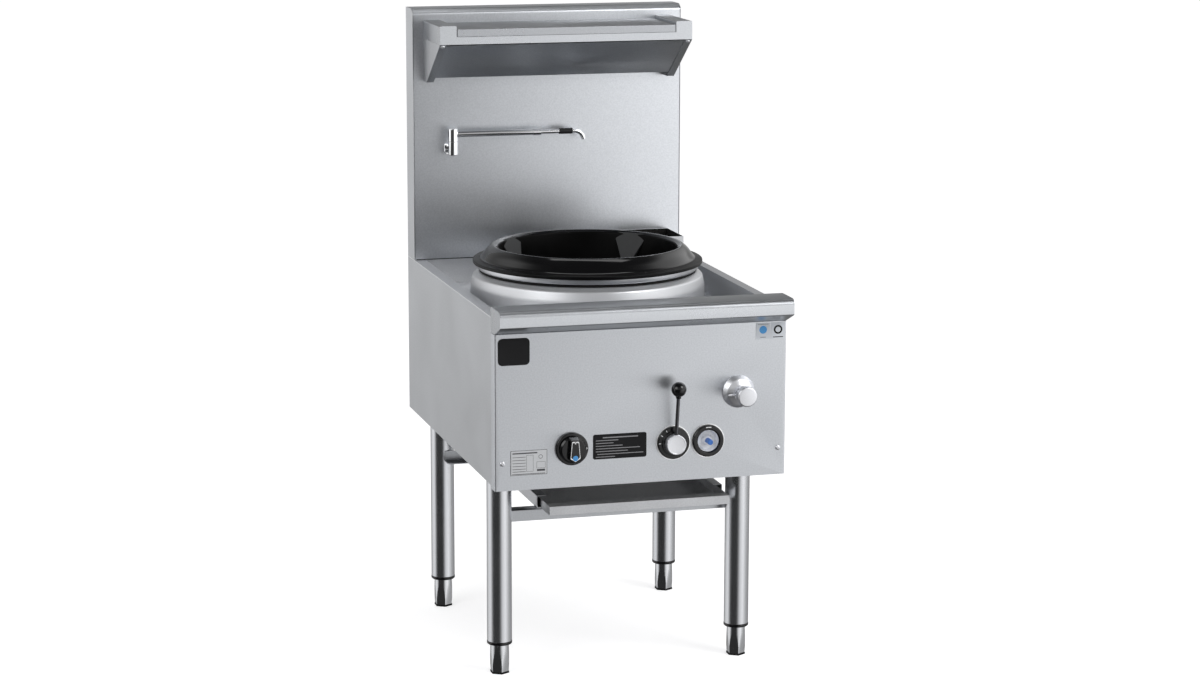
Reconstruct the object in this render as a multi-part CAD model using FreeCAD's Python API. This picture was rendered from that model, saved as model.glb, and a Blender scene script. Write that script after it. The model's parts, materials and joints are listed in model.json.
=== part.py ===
"""Free-standing gas wok range, one burner, on four round legs.

A steel cabinet holds a water-cooled well.  A drum in the well carries a cast wok ring
over the burner chamber.  A tall splashback carries a shelf and a swinging water spout,
and a drip tray slides on runners between the legs.

Millimetres.  +X is to the right seen from the front, +Y to the back, +Z up.
The origin is on the floor, under the middle of the whole outline.
"""
import os
import math

import FreeCAD
import Part

# ---------------------------------------------------------------- overall sizes
module_width = 600.0        # outside width of the cabinet
body_depth = 795.0          # face of the front panel to the rear of the cabinet
total_height = 1305.0       # floor to the top of the splashback
tap_reach = 62.0            # how far the water tap stands out of the front panel
sheet = 1.5                 # sheet steel of the cabinet
rail_sheet = 2.0            # sheet steel of rails and runners
bend = 3.0                  # outside radius of the visible folds

# clearances
seam = 0.5                  # open line between neighbouring sheets
seat = 0.3                  # gap under or beside a piece that lifts out or slides
running = 0.05              # radial clearance of a shaft or a sliding tube
fine_edge = 1.0             # small rounding of turned and cast edges
soft_edge = 2.0

# ---------------------------------------------------------------- cabinet
panel_bottom = 418.0        # lower edge of the front panel
panel_return = 28.0         # depth of the front panel's folded sides
side_bottom = 424.0         # lower edge of the side and rear panels
bottom_flange = 15.0        # fold along the lower edges
joint_strip = 16.0          # strip that backs the seam between front and side
deck = 762.0                # top of the well's rim
rail_bottom = 732.0         # where the front rail starts to lean out
rail_overhang = 47.0        # how far the front rail stands out of the front panel
rail_knee = 751.0           # top of the rail's leaning part
rail_top = 783.0
rail_back = 29.4            # back of the rail, behind the panel's face
rail_nose = 13.0            # rounding of the rail's upper front edge
rail_tab = 16.0             # tab of the rail behind the front panel
rail_gap = 1.0              # open line between front panel and rail

# ---------------------------------------------------------------- well
rim_left = 25.0             # width of the rim beside the well
rim_right = 20.0
well_depth = 53.0           # rim to the well's floor
well_corner = 6.0           # upright corners of the well
splash_depth = 66.0         # thickness of the splashback
drain_radius = 19.0         # welded drain socket under the well
drain_wall = 2.0
drain_length = 55.0
drain_inset = 36.0          # drain centre from the well's right and front walls

# ---------------------------------------------------------------- splashback
splash_seam = 0.8           # open joint between the splashback's face and its side sheets
nose_drop = 9.0             # height of the rounded upper edge
nose_depth = 13.0
nose_radius = 8.0
nose_top_radius = 14.0

# ---------------------------------------------------------------- shelf
shelf_half_width = 276.0
shelf_depth = 161.5
shelf_drop = 23.5           # shelf's top below the splashback's top
shelf_height = 39.5
shelf_end_width = 36.0      # width of the boxed ends
insert_play = 1.5           # gap between the insert and each boxed end
insert_drop = 7.0           # insert's top below the boxed ends' top
insert_height = 16.0
bracket_height = 91.5       # bracket below the shelf
bracket_foot = 29.0         # depth of the bracket's level lower edge
bracket_flange = 15.5       # width of the bracket's folded edge
fascia_flange = 5.0         # fold under the shelf's front edge
underside_rise = 8.5        # level part of the underside above the bracket's lower edge
bracket_screw_inset = 9.0   # screw below the shelf's edge, along the bracket's slope

# ---------------------------------------------------------------- legs, feet and rails
leg_radius = 25.4
leg_wall = 1.5
leg_inset = 47.0            # leg axes inside the cabinet's sides
leg_front = 158.7           # leg axes behind the front panel's face
leg_rear = 678.2
leg_bottom = 61.3
leg_edge = 1.2              # rounding of the tube's lower edge
leg_plate = 60.0            # square plate welded on top of the leg
leg_plate_thickness = 4.0
bush_height = 30.0
foot_top_radius = 18.8
foot_base_radius = 20.5
foot_flats = 33.0           # across the flats at the floor
foot_top_flats = 39.6       # the flats run out below the round top
foot_sides = 6
foot_stem_radius = 8.0
foot_stem_length = 55.0
cross_rail_top = 331.4      # level on which the runners lie
front_web = 24.4            # height of the front cross rail
front_flange = 26.0
rear_web = 21.0             # upstand of the rear cross rail
rear_flange = 34.0
rear_flange_chamfer = 8.0

# ---------------------------------------------------------------- drip tray
tray_width = 380.0
tray_offset = 30.0          # tray centre to the right of the cabinet's centre
tray_front = 110.0
tray_length = 530.0
tray_height = 18.3
tray_sheet = 1.2
tray_hem = 26.0             # boxed front edge
runner_height = 27.1
runner_flange = 20.0
runner_play = 6.0           # gap between the tray and each runner's web

# ---------------------------------------------------------------- fire ring and chamber
ring_depth = 406.5          # ring centre behind the front panel's face
ring_radius = 240.0         # outer edge of the ring's flange
ring_seat_z = 799.5         # underside of the ring's flange
ring_flange = 6.5           # thickness of the flange
ring_dome_foot = 224.0      # where the dome meets the flange
ring_dome_rise = 2.5
ring_shoulder_radius = 209.0
ring_shoulder_z = 829.5
ring_crest_radius = 197.0
ring_crest_z = 837.5
ring_seat_inner = 221.0     # the flange rests from here outwards
ring_hollow_radius = 213.0  # hollow underside of the dome
ring_hollow_foot = 4.0
ring_hollow_crest = 199.0
ring_hollow_drop = 10.0
ring_skirt_drop = 15.0
ring_mouth = 187.0          # inner radius at the mouth
ring_throat = 180.0         # inner radius at the lower edge
ring_bottom = 770.0
ring_wall = 6.5
ring_fillet = 7.0           # where the flange turns up into the dome
ring_shoulder_rounding = 9.0
ring_crest_rounding = 6.0
ring_mouth_rounding = 4.0
ring_hollow_rounding = 3.0
lug_count = 4
lug_top_width = 54.0
lug_bottom_width = 23.0
lug_height = 49.0
lug_drop = 1.5              # lug's top below the mouth's edge
lug_stand = 6.0             # how far a lug stands in from the wall
collar_radius = 231.0
collar_inner = 206.0
collar_bottom = 788.0
gasket_radius = 227.5
gasket_bottom = 782.0
drum_foot_radius = 246.0
drum_waist_radius = 244.5
drum_waist_z = 755.0
drum_shoulder_radius = 240.0
drum_shoulder_z = 774.0
drum_top_radius = 228.0
drum_foot_flange = 12.0
drum_sheet = 2.0
drum_waist_rounding = 40.0
drum_shoulder_rounding = 8.0
drum_top_rounding = 6.0
liner_flange_radius = 204.5
liner_mouth = 189.5
liner_wall = 6.2
liner_shoulder_z = 770.0
liner_mid_radius = 160.0
liner_mid_z = 690.0
liner_low_radius = 110.0
liner_bottom = 640.0
liner_floor = 8.0
liner_hole = 66.0
liner_fold = 20.0           # rounding of the chamber's wall
liner_corner = 8.0          # rounding round the chamber's floor

# ---------------------------------------------------------------- flue
flue_inset = 27.0           # flue inside the cabinet's right side
flue_width = 112.0
flue_depth = 119.0
flue_top = 810.0
duct_radius = 24.0
duct_wall = 1.5
duct_z = 675.0
duct_offset = 31.5          # duct centre from the flue's left side
duct_inset = 62.0           # duct centre in front of the splashback
duct_bend = 28.0

# ---------------------------------------------------------------- burner
burner_radius = 75.0
burner_thickness = 14.0
burner_hub_radius = 24.0
burner_bore = 16.0
burner_hub_bottom = 622.0
burner_edge = 3.0
jet_count = 12
jet_circle = 48.0
jet_radius = 5.0
jet_bore = 2.0
jet_height = 9.0
venturi_bottom = 524.0
venturi_mouth = 30.0
venturi_wall = 3.0
venturi_bell = 26.0
venturi_rounding = 12.0
pilot_circle = 88.0         # pilot burner from the chamber's axis
pilot_tube_radius = 7.0
pilot_flange_radius = 13.0
pilot_flange = 4.0
pilot_height = 30.0
pilot_tail = 26.0
electrode_radius = 2.5
electrode_offset = 10.0

# ---------------------------------------------------------------- gas and water lines
pipe_depth = 32.0           # line of the valves behind the panel's face
gas_pipe_radius = 10.65
gas_pipe_wall = 2.0
gas_inlet_x = -206.0
inlet_inset = 9.0           # inlet end in front of the rear face
inlet_radius = 15.0
inlet_bore = 9.5
inlet_length = 30.0
inlet_hole = 24.0           # opening in the rear panel round an inlet
pilot_pipe_radius = 4.0
pilot_pipe_wall = 1.0
pilot_pipe_z = 600.0
water_pipe_radius = 7.5
water_pipe_wall = 1.0
water_drop = 48.0           # water line below the tap
gas_bend = 24.0
water_bend = 16.0
pilot_bend = 12.0

# ---------------------------------------------------------------- controls
control_z = 496.0           # height of the gas knob, lever and pilot
knob_x = -144.0
lever_x = 65.0
pilot_x = 137.0
tap_x = 200.0
tap_z = 593.0
valve_radius = 22.0
valve_length = 40.0
valve_neck_radius = 13.0
valve_neck = 10.0
valve_port = 26.0
valve_port_radius = 14.0
spindle_radius = 5.0
spindle_depth = 22.0        # how deep a spindle runs into its valve
dial_radius = 33.0
dial_thickness = 6.0
dial_boss_radius = 25.0
dial_boss = 4.0
dial_rounding = 1.5
knob_front = 30.0           # front of the gas knob, in front of the panel
knob_skirt_radius = 27.0
knob_skirt = 5.0
knob_bar_length = 52.0
knob_bar_top = 16.0
knob_bar_bottom = 24.0
hub_radius = 20.0
hub_front = 26.0
hub_face = 8.0              # stem axis behind the hub's front
stem_radius = 3.6
stem_lean = 19.0            # forward lean of the lever's stem over its length
stem_socket = 12.0          # where the stem starts, from the hub's axis
ball_socket = 9.0           # how far the stem enters the ball
ball_radius = 15.0
ball_height = 115.0
bezel_radius = 32.25
bezel_thickness = 7.0
cup_radius = 22.0
cup_wall = 1.2
cup_depth = 14.0
button_radius = 5.5
button_front = 20.0
button_travel = 4.0
button_shoulder = 8.0
igniter_radius = 15.0
igniter_length = 44.0
igniter_bore = 9.0
igniter_bore_depth = 20.0
spring_radius = 7.6
spring_inner = 4.6
button_tail_radius = 3.0
tap_flange_radius = 33.0
tap_flange_rim = 3.0
tap_dome_radius = 15.0
tap_dome = 16.0
tap_shoulder = 7.0          # dome's shoulder inside the flange's edge
tap_shoulder_drop = 5.0
tap_shoulder_rounding = 10.0
tap_dome_rounding = 4.0
tap_hub_radius = 8.0
tap_knob_radius = 20.0
tap_knob_thickness = 17.0
tap_knob_rounding = 3.0
tap_pin_radius = 2.6
tap_pin_reach = 32.0
tap_pin_depth = 35.0

# ---------------------------------------------------------------- spout
spout_inset = 80.5          # spout axis from the cabinet's left side
spout_stand = 32.0          # spout axis in front of the splashback
spout_radius = 10.25
spout_height = 58.0         # fixed body and swivel head together
spout_head = 28.0           # swivel head on top of the fixed body
spout_head_rise = 12.5      # top of the head above the arm's axis
spout_pin_radius = 6.0
spout_stub_radius = 7.5
spout_stub_rise = 13.0      # stub above the fixed body's lower end
spout_stub_tail = 12.0      # stub's length behind the splashback's face
spout_cap = 6.0             # closed top of the swivel head
spout_edge = 1.5
spout_plate_radius = 15.0
spout_plate = 3.0
arm_drop = 267.5            # arm's axis below the splashback's top
arm_radius = 6.25
arm_length = 177.5          # from the spout's axis
arm_collar_radius = 7.5
arm_collar_length = 16.0
tube_radius = 4.75
tube_bore = 3.6
tube_hidden = 120.0         # length of the inner tube inside the arm
grip_gap = 41.6             # bare tube between the collar and the grip
grip_length = 29.6
nozzle_reach = 19.3         # from the grip to the corner of the nozzle's bend
nozzle_lean = 7.0
nozzle_drop = 18.0
nozzle_bend = 20.0

# ---------------------------------------------------------------- plates and screws
plate_thickness = 0.6
screw_head_radius = 5.0
screw_head = 2.6
screw_radius = 2.5
screw_length = 6.0
screw_x = 284.6
screw_z = 473.0
rear_screw_inset = 20.0
rear_screw_rows = 3
# each plate: left edge, width, lower edge, height, corner radius
rating_plate = (-268.0, 74.0, 448.0, 50.0, 2.0)
guide_plate = (-100.3, 110.0, 470.8, 50.2, 4.0)
name_plate = (-293.0, 64.0, 669.0, 54.0, 9.0)
left_sticker = (236.0, 29.5, 696.0, 33.0, 1.0)
right_sticker = (267.6, 29.0, 696.0, 33.0, 1.0)

# ---------------------------------------------------------------- places worked out from the sizes
half_width = module_width / 2
panel_y = tap_reach - (body_depth + tap_reach) / 2
rear_y = panel_y + body_depth
splash_y = rear_y - splash_depth
well_left = rim_left - half_width
well_right = half_width - rim_right
well_front = panel_y + rail_back + seam
well_floor = deck - well_depth
panel_top = rail_bottom - rail_gap
shelf_y = splash_y - shelf_depth
shelf_top = total_height - shelf_drop
shelf_bottom = shelf_top - shelf_height
insert_top = shelf_top - insert_drop
bracket_bottom = shelf_bottom - bracket_height
ring_y = panel_y + ring_depth
tray_left = tray_offset - tray_width / 2
tray_right = tray_offset + tray_width / 2
runner_floor = cross_rail_top + rail_sheet
tray_bottom = runner_floor + seat
tray_y = panel_y + tray_front
line_y = panel_y + pipe_depth
valve_back = panel_y + sheet + valve_neck + valve_length
spout_x = spout_inset - half_width
spout_y = splash_y - spout_stand
arm_z = total_height - arm_drop
spout_top = arm_z + spout_head_rise
spout_split = spout_top - spout_head
spout_bottom = spout_top - spout_height
spout_stub_z = spout_bottom + spout_stub_rise
arm_end = spout_x + arm_length
arm_collar_end = arm_end + arm_collar_length
grip_start = arm_collar_end + grip_gap
grip_end = grip_start + grip_length
nozzle_corner = grip_end + nozzle_reach
nozzle_end = nozzle_corner + nozzle_lean
water_inlet_z = tap_z - water_drop
flue_left = half_width - flue_inset - flue_width
duct_x = flue_left + duct_offset
duct_y = splash_y - duct_inset
riser_y = rear_y - splash_depth / 2
insert_half_width = shelf_half_width - shelf_end_width - insert_play
drain_x = well_right - drain_inset
drain_y = well_front + drain_inset
front_leg_y = panel_y + leg_front
rear_leg_y = panel_y + leg_rear
leg_x = half_width - leg_inset
full_turn = 360.0
chamber_floor = liner_bottom + liner_floor

right = FreeCAD.Vector(1, 0, 0)
back = FreeCAD.Vector(0, 1, 0)
up = FreeCAD.Vector(0, 0, 1)


# ---------------------------------------------------------------- shape tools
def at(x, y, z):
    return FreeCAD.Vector(x, y, z)


def block(low, high):
    """Box between two opposite corners."""
    return Part.makeBox(high[0] - low[0], high[1] - low[1], high[2] - low[2], at(*low))


def rod(radius, start, direction, length):
    return Part.makeCylinder(radius, length, start, direction)


def pipe_piece(outer, inner, start, direction, length):
    return rod(outer, start, direction, length).cut(rod(inner, start, direction, length))


def joined(shapes):
    """One solid from shapes that touch or overlap."""
    return shapes[0].fuse(shapes[1:]).removeSplitter()


def rounded_wire(corners, closed=True):
    """Straight runs through (point, radius) corners, joined by tangent arcs."""
    count = len(corners)
    entries = []
    for index, (point, radius) in enumerate(corners):
        at_end = not closed and index in (0, count - 1)
        if at_end or radius <= 0:
            entries.append((point, None, point))
            continue
        to_last = (corners[index - 1][0] - point).normalize()
        to_next = (corners[(index + 1) % count][0] - point).normalize()
        half = to_last.getAngle(to_next) / 2
        reach = radius / math.tan(half)
        middle = (to_last + to_next).normalize() * (radius / math.sin(half) - radius)
        entries.append((point + to_last * reach, point + middle, point + to_next * reach))
    edges = []
    for index, (start, middle, end) in enumerate(entries):
        if middle is not None:
            edges.append(Part.Arc(start, middle, end).toShape())
        if closed or index < count - 1:
            following = entries[(index + 1) % count][0]
            if end.distanceToPoint(following) > 1e-6:
                edges.append(Part.LineSegment(end, following).toShape())
    return Part.Wire(edges)


def placed(axis, along, across, over):
    """Point from a drawing plane: across and over lie in it, along is square to it."""
    if axis == "x":
        return at(along, across, over)
    if axis == "y":
        return at(across, along, over)
    return at(across, over, along)


def plate(corners, axis, start, end):
    """Outline of (across, over, radius) corners, extruded along an axis."""
    wire = rounded_wire([(placed(axis, start, u, v), radius) for u, v, radius in corners])
    return Part.Face(wire).extrude(placed(axis, end - start, 0, 0))


def shifted(path, distance):
    """The open path moved to its left by a distance, mitred at its corners."""
    count = len(path)
    headings = []
    for (u0, v0, _), (u1, v1, _) in zip(path, path[1:]):
        length = math.hypot(u1 - u0, v1 - v0)
        headings.append(((u1 - u0) / length, (v1 - v0) / length))
    moved = []
    for index, (u, v, radius) in enumerate(path):
        before = headings[max(index - 1, 0)]
        after = headings[min(index, count - 2)]
        turn = before[0] * after[1] - before[1] * after[0]
        share = distance / (1 + before[0] * after[0] + before[1] * after[1])
        side = (-(before[1] + after[1]) * share, (before[0] + after[0]) * share)
        grown = radius - distance * (turn > 0) + distance * (turn < 0)
        moved.append((u + side[0], v + side[1], max(grown, 0) if radius else 0))
    return moved


def thickened(path, thickness):
    """Closed outline of a bent sheet; a positive thickness lies left of the path."""
    return list(path) + shifted(path, thickness)[::-1]


def folded(path, thickness, axis, start, end):
    """Bent sheet of constant section along an axis."""
    return plate(thickened(path, thickness), axis, start, end)


def turned(profile, centre, axis=up, side=right):
    """Solid of revolution from a (radius, along, corner radius) profile."""
    corners = [(centre + side * radius + axis * along, rounding) for radius, along, rounding in profile]
    return Part.Face(rounded_wire(corners)).revolve(centre, axis, full_turn)


def ring_turned(profile):
    """Solid of revolution about the fire ring's axis, with real heights."""
    return turned(profile, at(0, ring_y, 0))


def panel_turned(profile, x, z):
    """Solid of revolution about a line square to the front panel, measured outwards."""
    return turned(profile, at(x, panel_y, z), back * -1)


def tube(points, radius, outer, inner):
    """Round tube through points, with one bend radius."""
    corners = [(point, radius) for point in points]
    heading = points[1] - points[0]
    path = rounded_wire(corners, closed=False)
    walls = []
    for size in (outer, inner):
        section = Part.Wire(Part.Circle(points[0], heading, size).toShape())
        walls.append(path.makePipeShell([section], True, False))
    return walls[0].cut(walls[1])


def mirrored(shape):
    return shape.mirror(at(0, 0, 0), right)


def screw(place, inward):
    """Pan head screw whose head stands on a face."""
    head = rod(screw_head_radius, place - inward * screw_head, inward, screw_head)
    rim = [edge for edge in head.Edges if edge.CenterOfMass.distanceToPoint(place) > screw_head / 2]
    rim = [edge for edge in rim if isinstance(edge.Curve, Part.Circle)]
    head = head.makeFillet(screw_head / 2, rim[:1])
    return joined([head, rod(screw_radius, place, inward, screw_length)])


def screw_hole(place, inward):
    return rod(screw_radius + seat, place - inward * screw_length, inward, 3 * screw_length)


# ---------------------------------------------------------------- cabinet
def panel_screw_places():
    return [at(side * screw_x, panel_y, screw_z) for side in (-1, 1)]


def rear_screw_places(low, high):
    """Screws in two columns on a rear sheet between two heights."""
    places = []
    for side in (-1, 1):
        for row in range(rear_screw_rows):
            step = (high - low - 2 * rear_screw_inset) / (rear_screw_rows - 1)
            z = low + rear_screw_inset + row * step
            places.append(at(side * (half_width - sheet - rear_screw_inset), rear_y - screw_head, z))
    return places


def front_panel():
    edge = panel_y + panel_return - seam
    path = [(-half_width, edge, 0), (-half_width, panel_y, bend),
            (half_width, panel_y, bend), (half_width, edge, 0)]
    skin = folded(path, sheet, "z", panel_bottom, panel_top)
    inner = half_width - bend
    fold = block((-inner, panel_y + sheet, panel_bottom),
                 (inner, panel_y + bottom_flange, panel_bottom + sheet))
    panel = joined([skin, fold])
    for x, radius in ((knob_x, valve_neck_radius), (lever_x, valve_neck_radius)):
        panel = panel.cut(rod(radius + seat, at(x, panel_y - sheet, control_z), back, 3 * sheet))
    panel = panel.cut(rod(cup_radius + seat, at(pilot_x, panel_y - sheet, control_z), back, 3 * sheet))
    panel = panel.cut(rod(valve_neck_radius + seat, at(tap_x, panel_y - sheet, tap_z), back, 3 * sheet))
    for place in panel_screw_places():
        panel = panel.cut(screw_hole(place, back))
    return panel


def front_rail():
    slope = (rail_knee - rail_bottom) / rail_overhang
    tab_y = panel_y + sheet
    heel = rail_bottom - slope * sheet
    nose_y = panel_y - rail_overhang
    back_y = panel_y + rail_back
    path = [(tab_y, heel - rail_tab, 0), (tab_y, heel, 0), (nose_y, rail_knee, bend),
            (nose_y, rail_top, rail_nose), (back_y, rail_top, bend), (back_y, deck, 0)]
    skin = folded(path, -sheet, "x", -half_width, half_width)
    side_y = panel_y + panel_return - seam
    outline = [(panel_y, rail_bottom, 0), (nose_y, rail_knee, bend), (nose_y, rail_top, rail_nose),
               (back_y, rail_top, bend), (back_y, deck, 0), (side_y, deck, 0), (side_y, rail_bottom, 0)]
    end = plate(outline, "x", half_width - sheet, half_width)
    rail = joined([skin, end, mirrored(end)])
    # the tab stays inside the front panel's folded sides
    for side in (-1, 1):
        low = min(side * half_width, side * (half_width - 2 * bend))
        corner = block((low, panel_y, heel - rail_tab), (low + 2 * bend, side_y, rail_bottom - seam))
        rail = rail.cut(corner)
    return rail


def side_panel():
    """Right-hand panel; the left one is its mirror image."""
    inner = half_width - sheet
    front = panel_y + panel_return
    skin = block((inner, front, side_bottom), (half_width, rear_y, deck - sheet))
    fold_end = rear_y - screw_head - sheet
    fold = block((inner - bottom_flange, front, side_bottom), (inner, fold_end, side_bottom + sheet))
    strip_top = panel_top - rail_tab - bend
    strip = block((inner - sheet, front - joint_strip, side_bottom), (inner, front + joint_strip, strip_top))
    return joined([skin, fold, strip])


def rear_panel():
    inner = half_width - sheet
    face_y = rear_y - screw_head
    skin = block((-inner, face_y - sheet, side_bottom), (inner, face_y, deck - sheet))
    reach = inner - bottom_flange - seam
    fold = block((-reach, face_y - bottom_flange, side_bottom), (reach, face_y, side_bottom + sheet))
    panel = joined([skin, fold])
    for x, z in ((gas_inlet_x, control_z), (tap_x, water_inlet_z)):
        panel = panel.cut(rod(inlet_hole, at(x, rear_y - 2 * bottom_flange, z), back, 3 * bottom_flange))
    for place in rear_screw_places(side_bottom, deck):
        panel = panel.cut(screw_hole(place, back * -1))
    return panel


# ---------------------------------------------------------------- well and splashback
def well_box(grown, low, high):
    """The well's outline, grown outwards by a wall, between two heights."""
    corner = well_corner + grown
    left_x, right_x = well_left - grown, well_right + grown
    front_edge, back_edge = well_front - grown, splash_y + grown
    corners = [(left_x, front_edge, corner), (right_x, front_edge, corner), (right_x, back_edge, corner),
               (left_x, back_edge, corner)]
    return plate(corners, "z", low, high)


def well_pan():
    side_rim = block((-half_width, panel_y + rail_back, deck - sheet), (half_width, rear_y, deck))
    lip = half_width - sheet - seam
    front_rim = block((-lip, panel_y + 2 * sheet + seam, deck - sheet), (lip, panel_y + rail_back, deck))
    pan = joined([side_rim, front_rim, well_box(sheet, well_floor - sheet, deck)])
    pan = pan.cut(well_box(0, well_floor, deck + well_depth))
    under = well_floor - 2 * sheet
    drum_hole = drum_foot_radius - drum_foot_flange - drum_sheet
    pan = pan.cut(rod(drum_hole, at(0, ring_y, under), up, 3 * sheet))
    pan = pan.cut(rod(duct_radius - duct_wall, at(duct_x, duct_y, under), up, 3 * sheet))
    pan = pan.cut(rod(drain_radius - drain_wall, at(drain_x, drain_y, under), up, 3 * sheet))
    riser = at(spout_x, riser_y, deck - 2 * sheet)
    pan = pan.cut(rod(water_pipe_radius + seam, riser, up, 3 * sheet))
    tail = at(drain_x, drain_y, well_floor - sheet - drain_length)
    spigot = pipe_piece(drain_radius, drain_radius - drain_wall, tail, up, drain_length)
    return joined([pan, spigot])


def splash_outline():
    top = total_height
    return [(splash_y, deck, 0), (splash_y, top - nose_drop, nose_radius),
            (splash_y + nose_depth, top, nose_top_radius)]


def splash_face():
    """Front and top of the splashback in one bent sheet, between the two side sheets."""
    inner = half_width - sheet - splash_seam
    skin = folded(splash_outline() + [(rear_y, total_height, 0)], -sheet, "x", -inner, inner)
    hole = rod(spout_stub_radius + seam, at(spout_x, splash_y - sheet, spout_stub_z), back, 3 * sheet)
    return skin.cut(hole)


def splash_side():
    """Right-hand side sheet; the left one is its mirror image."""
    outline = splash_outline() + [(rear_y, total_height, 0), (rear_y, deck, 0)]
    return plate(outline, "x", half_width - sheet, half_width)


def splash_back():
    inner = half_width - sheet
    face_y = rear_y - screw_head
    back_sheet = block((-inner, face_y - sheet, deck), (inner, face_y, total_height - sheet))
    for place in rear_screw_places(deck, total_height):
        back_sheet = back_sheet.cut(screw_hole(place, back * -1))
    return back_sheet


# ---------------------------------------------------------------- shelf
def shelf_frame():
    inner = shelf_half_width - shelf_end_width
    edge = shelf_half_width
    section = [(edge, shelf_bottom, 0), (edge, shelf_top, bend),
               (inner, shelf_top, bend), (inner, shelf_bottom, 0)]
    channel = folded(section, sheet, "y", shelf_y, splash_y)
    end = joined([channel, plate(section, "y", shelf_y, shelf_y + sheet)])
    floor_z = insert_top - insert_height - seat
    path = [(shelf_y + fascia_flange, shelf_bottom, 0), (shelf_y, shelf_bottom, 0),
            (shelf_y, floor_z, 0), (splash_y, floor_z, 0)]
    floor = folded(path, -sheet, "x", -inner - sheet, inner + sheet)
    return joined([end, mirrored(end), floor])


def shelf_insert():
    bottom = insert_top - insert_height
    rear = splash_y - insert_play
    outside = block((-insert_half_width, shelf_y, bottom), (insert_half_width, rear, insert_top))
    inner = insert_half_width - sheet
    hollow = block((-inner, shelf_y + sheet, bottom - sheet), (inner, rear - sheet, insert_top - sheet))
    top_edges = [edge for edge in outside.Edges if edge.BoundBox.ZMin > insert_top - sheet / 2]
    return outside.makeFillet(sheet, top_edges).cut(hollow)


def bracket_slope():
    """Unit vector down the bracket's slanted edge, as (back, up)."""
    run = shelf_depth - bracket_foot
    drop = bracket_height
    length = math.hypot(run, drop)
    return run / length, -drop / length


def shelf_bracket():
    """Right-hand bracket; the left one is its mirror image."""
    foot_y = splash_y - bracket_foot
    outline = [(shelf_y, shelf_bottom, 0), (foot_y, bracket_bottom, 0),
               (splash_y, bracket_bottom, 0), (splash_y, shelf_bottom, 0)]
    web = plate(outline, "x", shelf_half_width - sheet, shelf_half_width)
    path = [(shelf_y, shelf_bottom, 0), (foot_y, bracket_bottom, 0), (splash_y, bracket_bottom, 0)]
    flange = folded(path, sheet, "x", shelf_half_width - bracket_flange, shelf_half_width)
    above = block((0, shelf_y - bend, shelf_bottom), (shelf_half_width, splash_y, shelf_top))
    bracket = joined([web, flange]).cut(above)
    place, inward = bracket_screw()
    return bracket.cut(screw_hole(place, inward))


def bracket_screw():
    """Place and direction of the screw near the top of the bracket's flange."""
    along, drop = bracket_slope()
    inset = bracket_screw_inset
    screw_line = shelf_half_width - bracket_flange / 2
    place = at(screw_line, shelf_y + along * inset, shelf_bottom + drop * inset)
    return place, at(0, -drop, along)


def shelf_underside():
    """Slanted sheet that lies on the two brackets' flanges."""
    along, drop = bracket_slope()
    lift = sheet / along
    start_y = shelf_y + fascia_flange + sheet
    start_z = shelf_bottom + lift + (start_y - shelf_y) * drop / along
    turn_y = splash_y - bracket_foot + underside_rise * along / drop
    turn_z = bracket_bottom + underside_rise + lift
    path = [(start_y, start_z, 0), (turn_y, turn_z, 0), (splash_y, turn_z, 0)]
    half = shelf_half_width - sheet - seam
    panel = folded(path, sheet, "x", -half, half)
    place, inward = bracket_screw()
    hole = screw_hole(place, inward)
    return panel.cut(hole).cut(mirrored(hole))


# ---------------------------------------------------------------- legs, feet, rails
def leg(x, y):
    top = well_floor - sheet
    inner = leg_radius - leg_wall
    wall = [(inner, leg_bottom, 0), (leg_radius, leg_bottom, leg_edge),
            (leg_radius, top, 0), (inner, top, 0)]
    post = turned(wall, at(x, y, 0))
    bush = pipe_piece(inner, foot_stem_radius + running, at(x, y, leg_bottom), up, bush_height)
    half = leg_plate / 2
    cap = block((x - half, y - half, top - leg_plate_thickness), (x + half, y + half, top))
    return joined([post, bush, cap])


def foot(x, y):
    top = leg_bottom - seat
    body = Part.makeCone(foot_base_radius, foot_top_radius, top, at(x, y, 0))
    sections = []
    for z, flats in ((0, foot_flats), (top, foot_top_flats)):
        corner = flats / 2 / math.cos(math.pi / foot_sides)
        turns = [math.pi * (2 * n + 1) / foot_sides for n in range(foot_sides + 1)]
        points = [at(x + corner * math.cos(turn), y + corner * math.sin(turn), z) for turn in turns]
        sections.append(Part.makePolygon(points))
    hexagon = Part.makeLoft(sections, True, True)
    stem = rod(foot_stem_radius, at(x, y, 0), up, top + foot_stem_length)
    return joined([body.common(hexagon), stem])


def front_cross_rail():
    web_y = front_leg_y + leg_radius
    path = [(web_y, cross_rail_top - front_web, 0), (web_y, cross_rail_top, bend),
            (web_y + front_flange, cross_rail_top, 0)]
    return folded(path, -rail_sheet, "x", -leg_x, leg_x)


def rear_cross_rail():
    web_y = rear_leg_y - leg_radius
    low = cross_rail_top - rail_sheet
    path = [(web_y - rear_flange, low, 0), (web_y, low, bend), (web_y, cross_rail_top + rear_web, 0)]
    rail = folded(path, rail_sheet, "x", -leg_x, leg_x)
    for side in (-1, 1):
        tip = side * leg_x
        cut = rear_flange_chamfer
        edge_y = web_y - rear_flange
        corner = [(tip, edge_y, 0), (tip - side * cut, edge_y, 0), (tip, edge_y + cut, 0)]
        rail = rail.cut(plate(corner, "z", low - cut, low + cut))
    return rail


def runner(side):
    """Channel open towards the tray; side is -1 on the left and 1 on the right."""
    web_x = tray_offset + side * (tray_width / 2 + runner_play + rail_sheet)
    lip_x = web_x - side * runner_flange
    top = cross_rail_top + runner_height
    path = [(lip_x, cross_rail_top, 0), (web_x, cross_rail_top, bend),
            (web_x, top, bend), (lip_x, top, 0)]
    start = front_leg_y + leg_radius
    end = rear_leg_y - leg_radius - bend - seam
    return folded(path, side * rail_sheet, "y", start, end)


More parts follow.
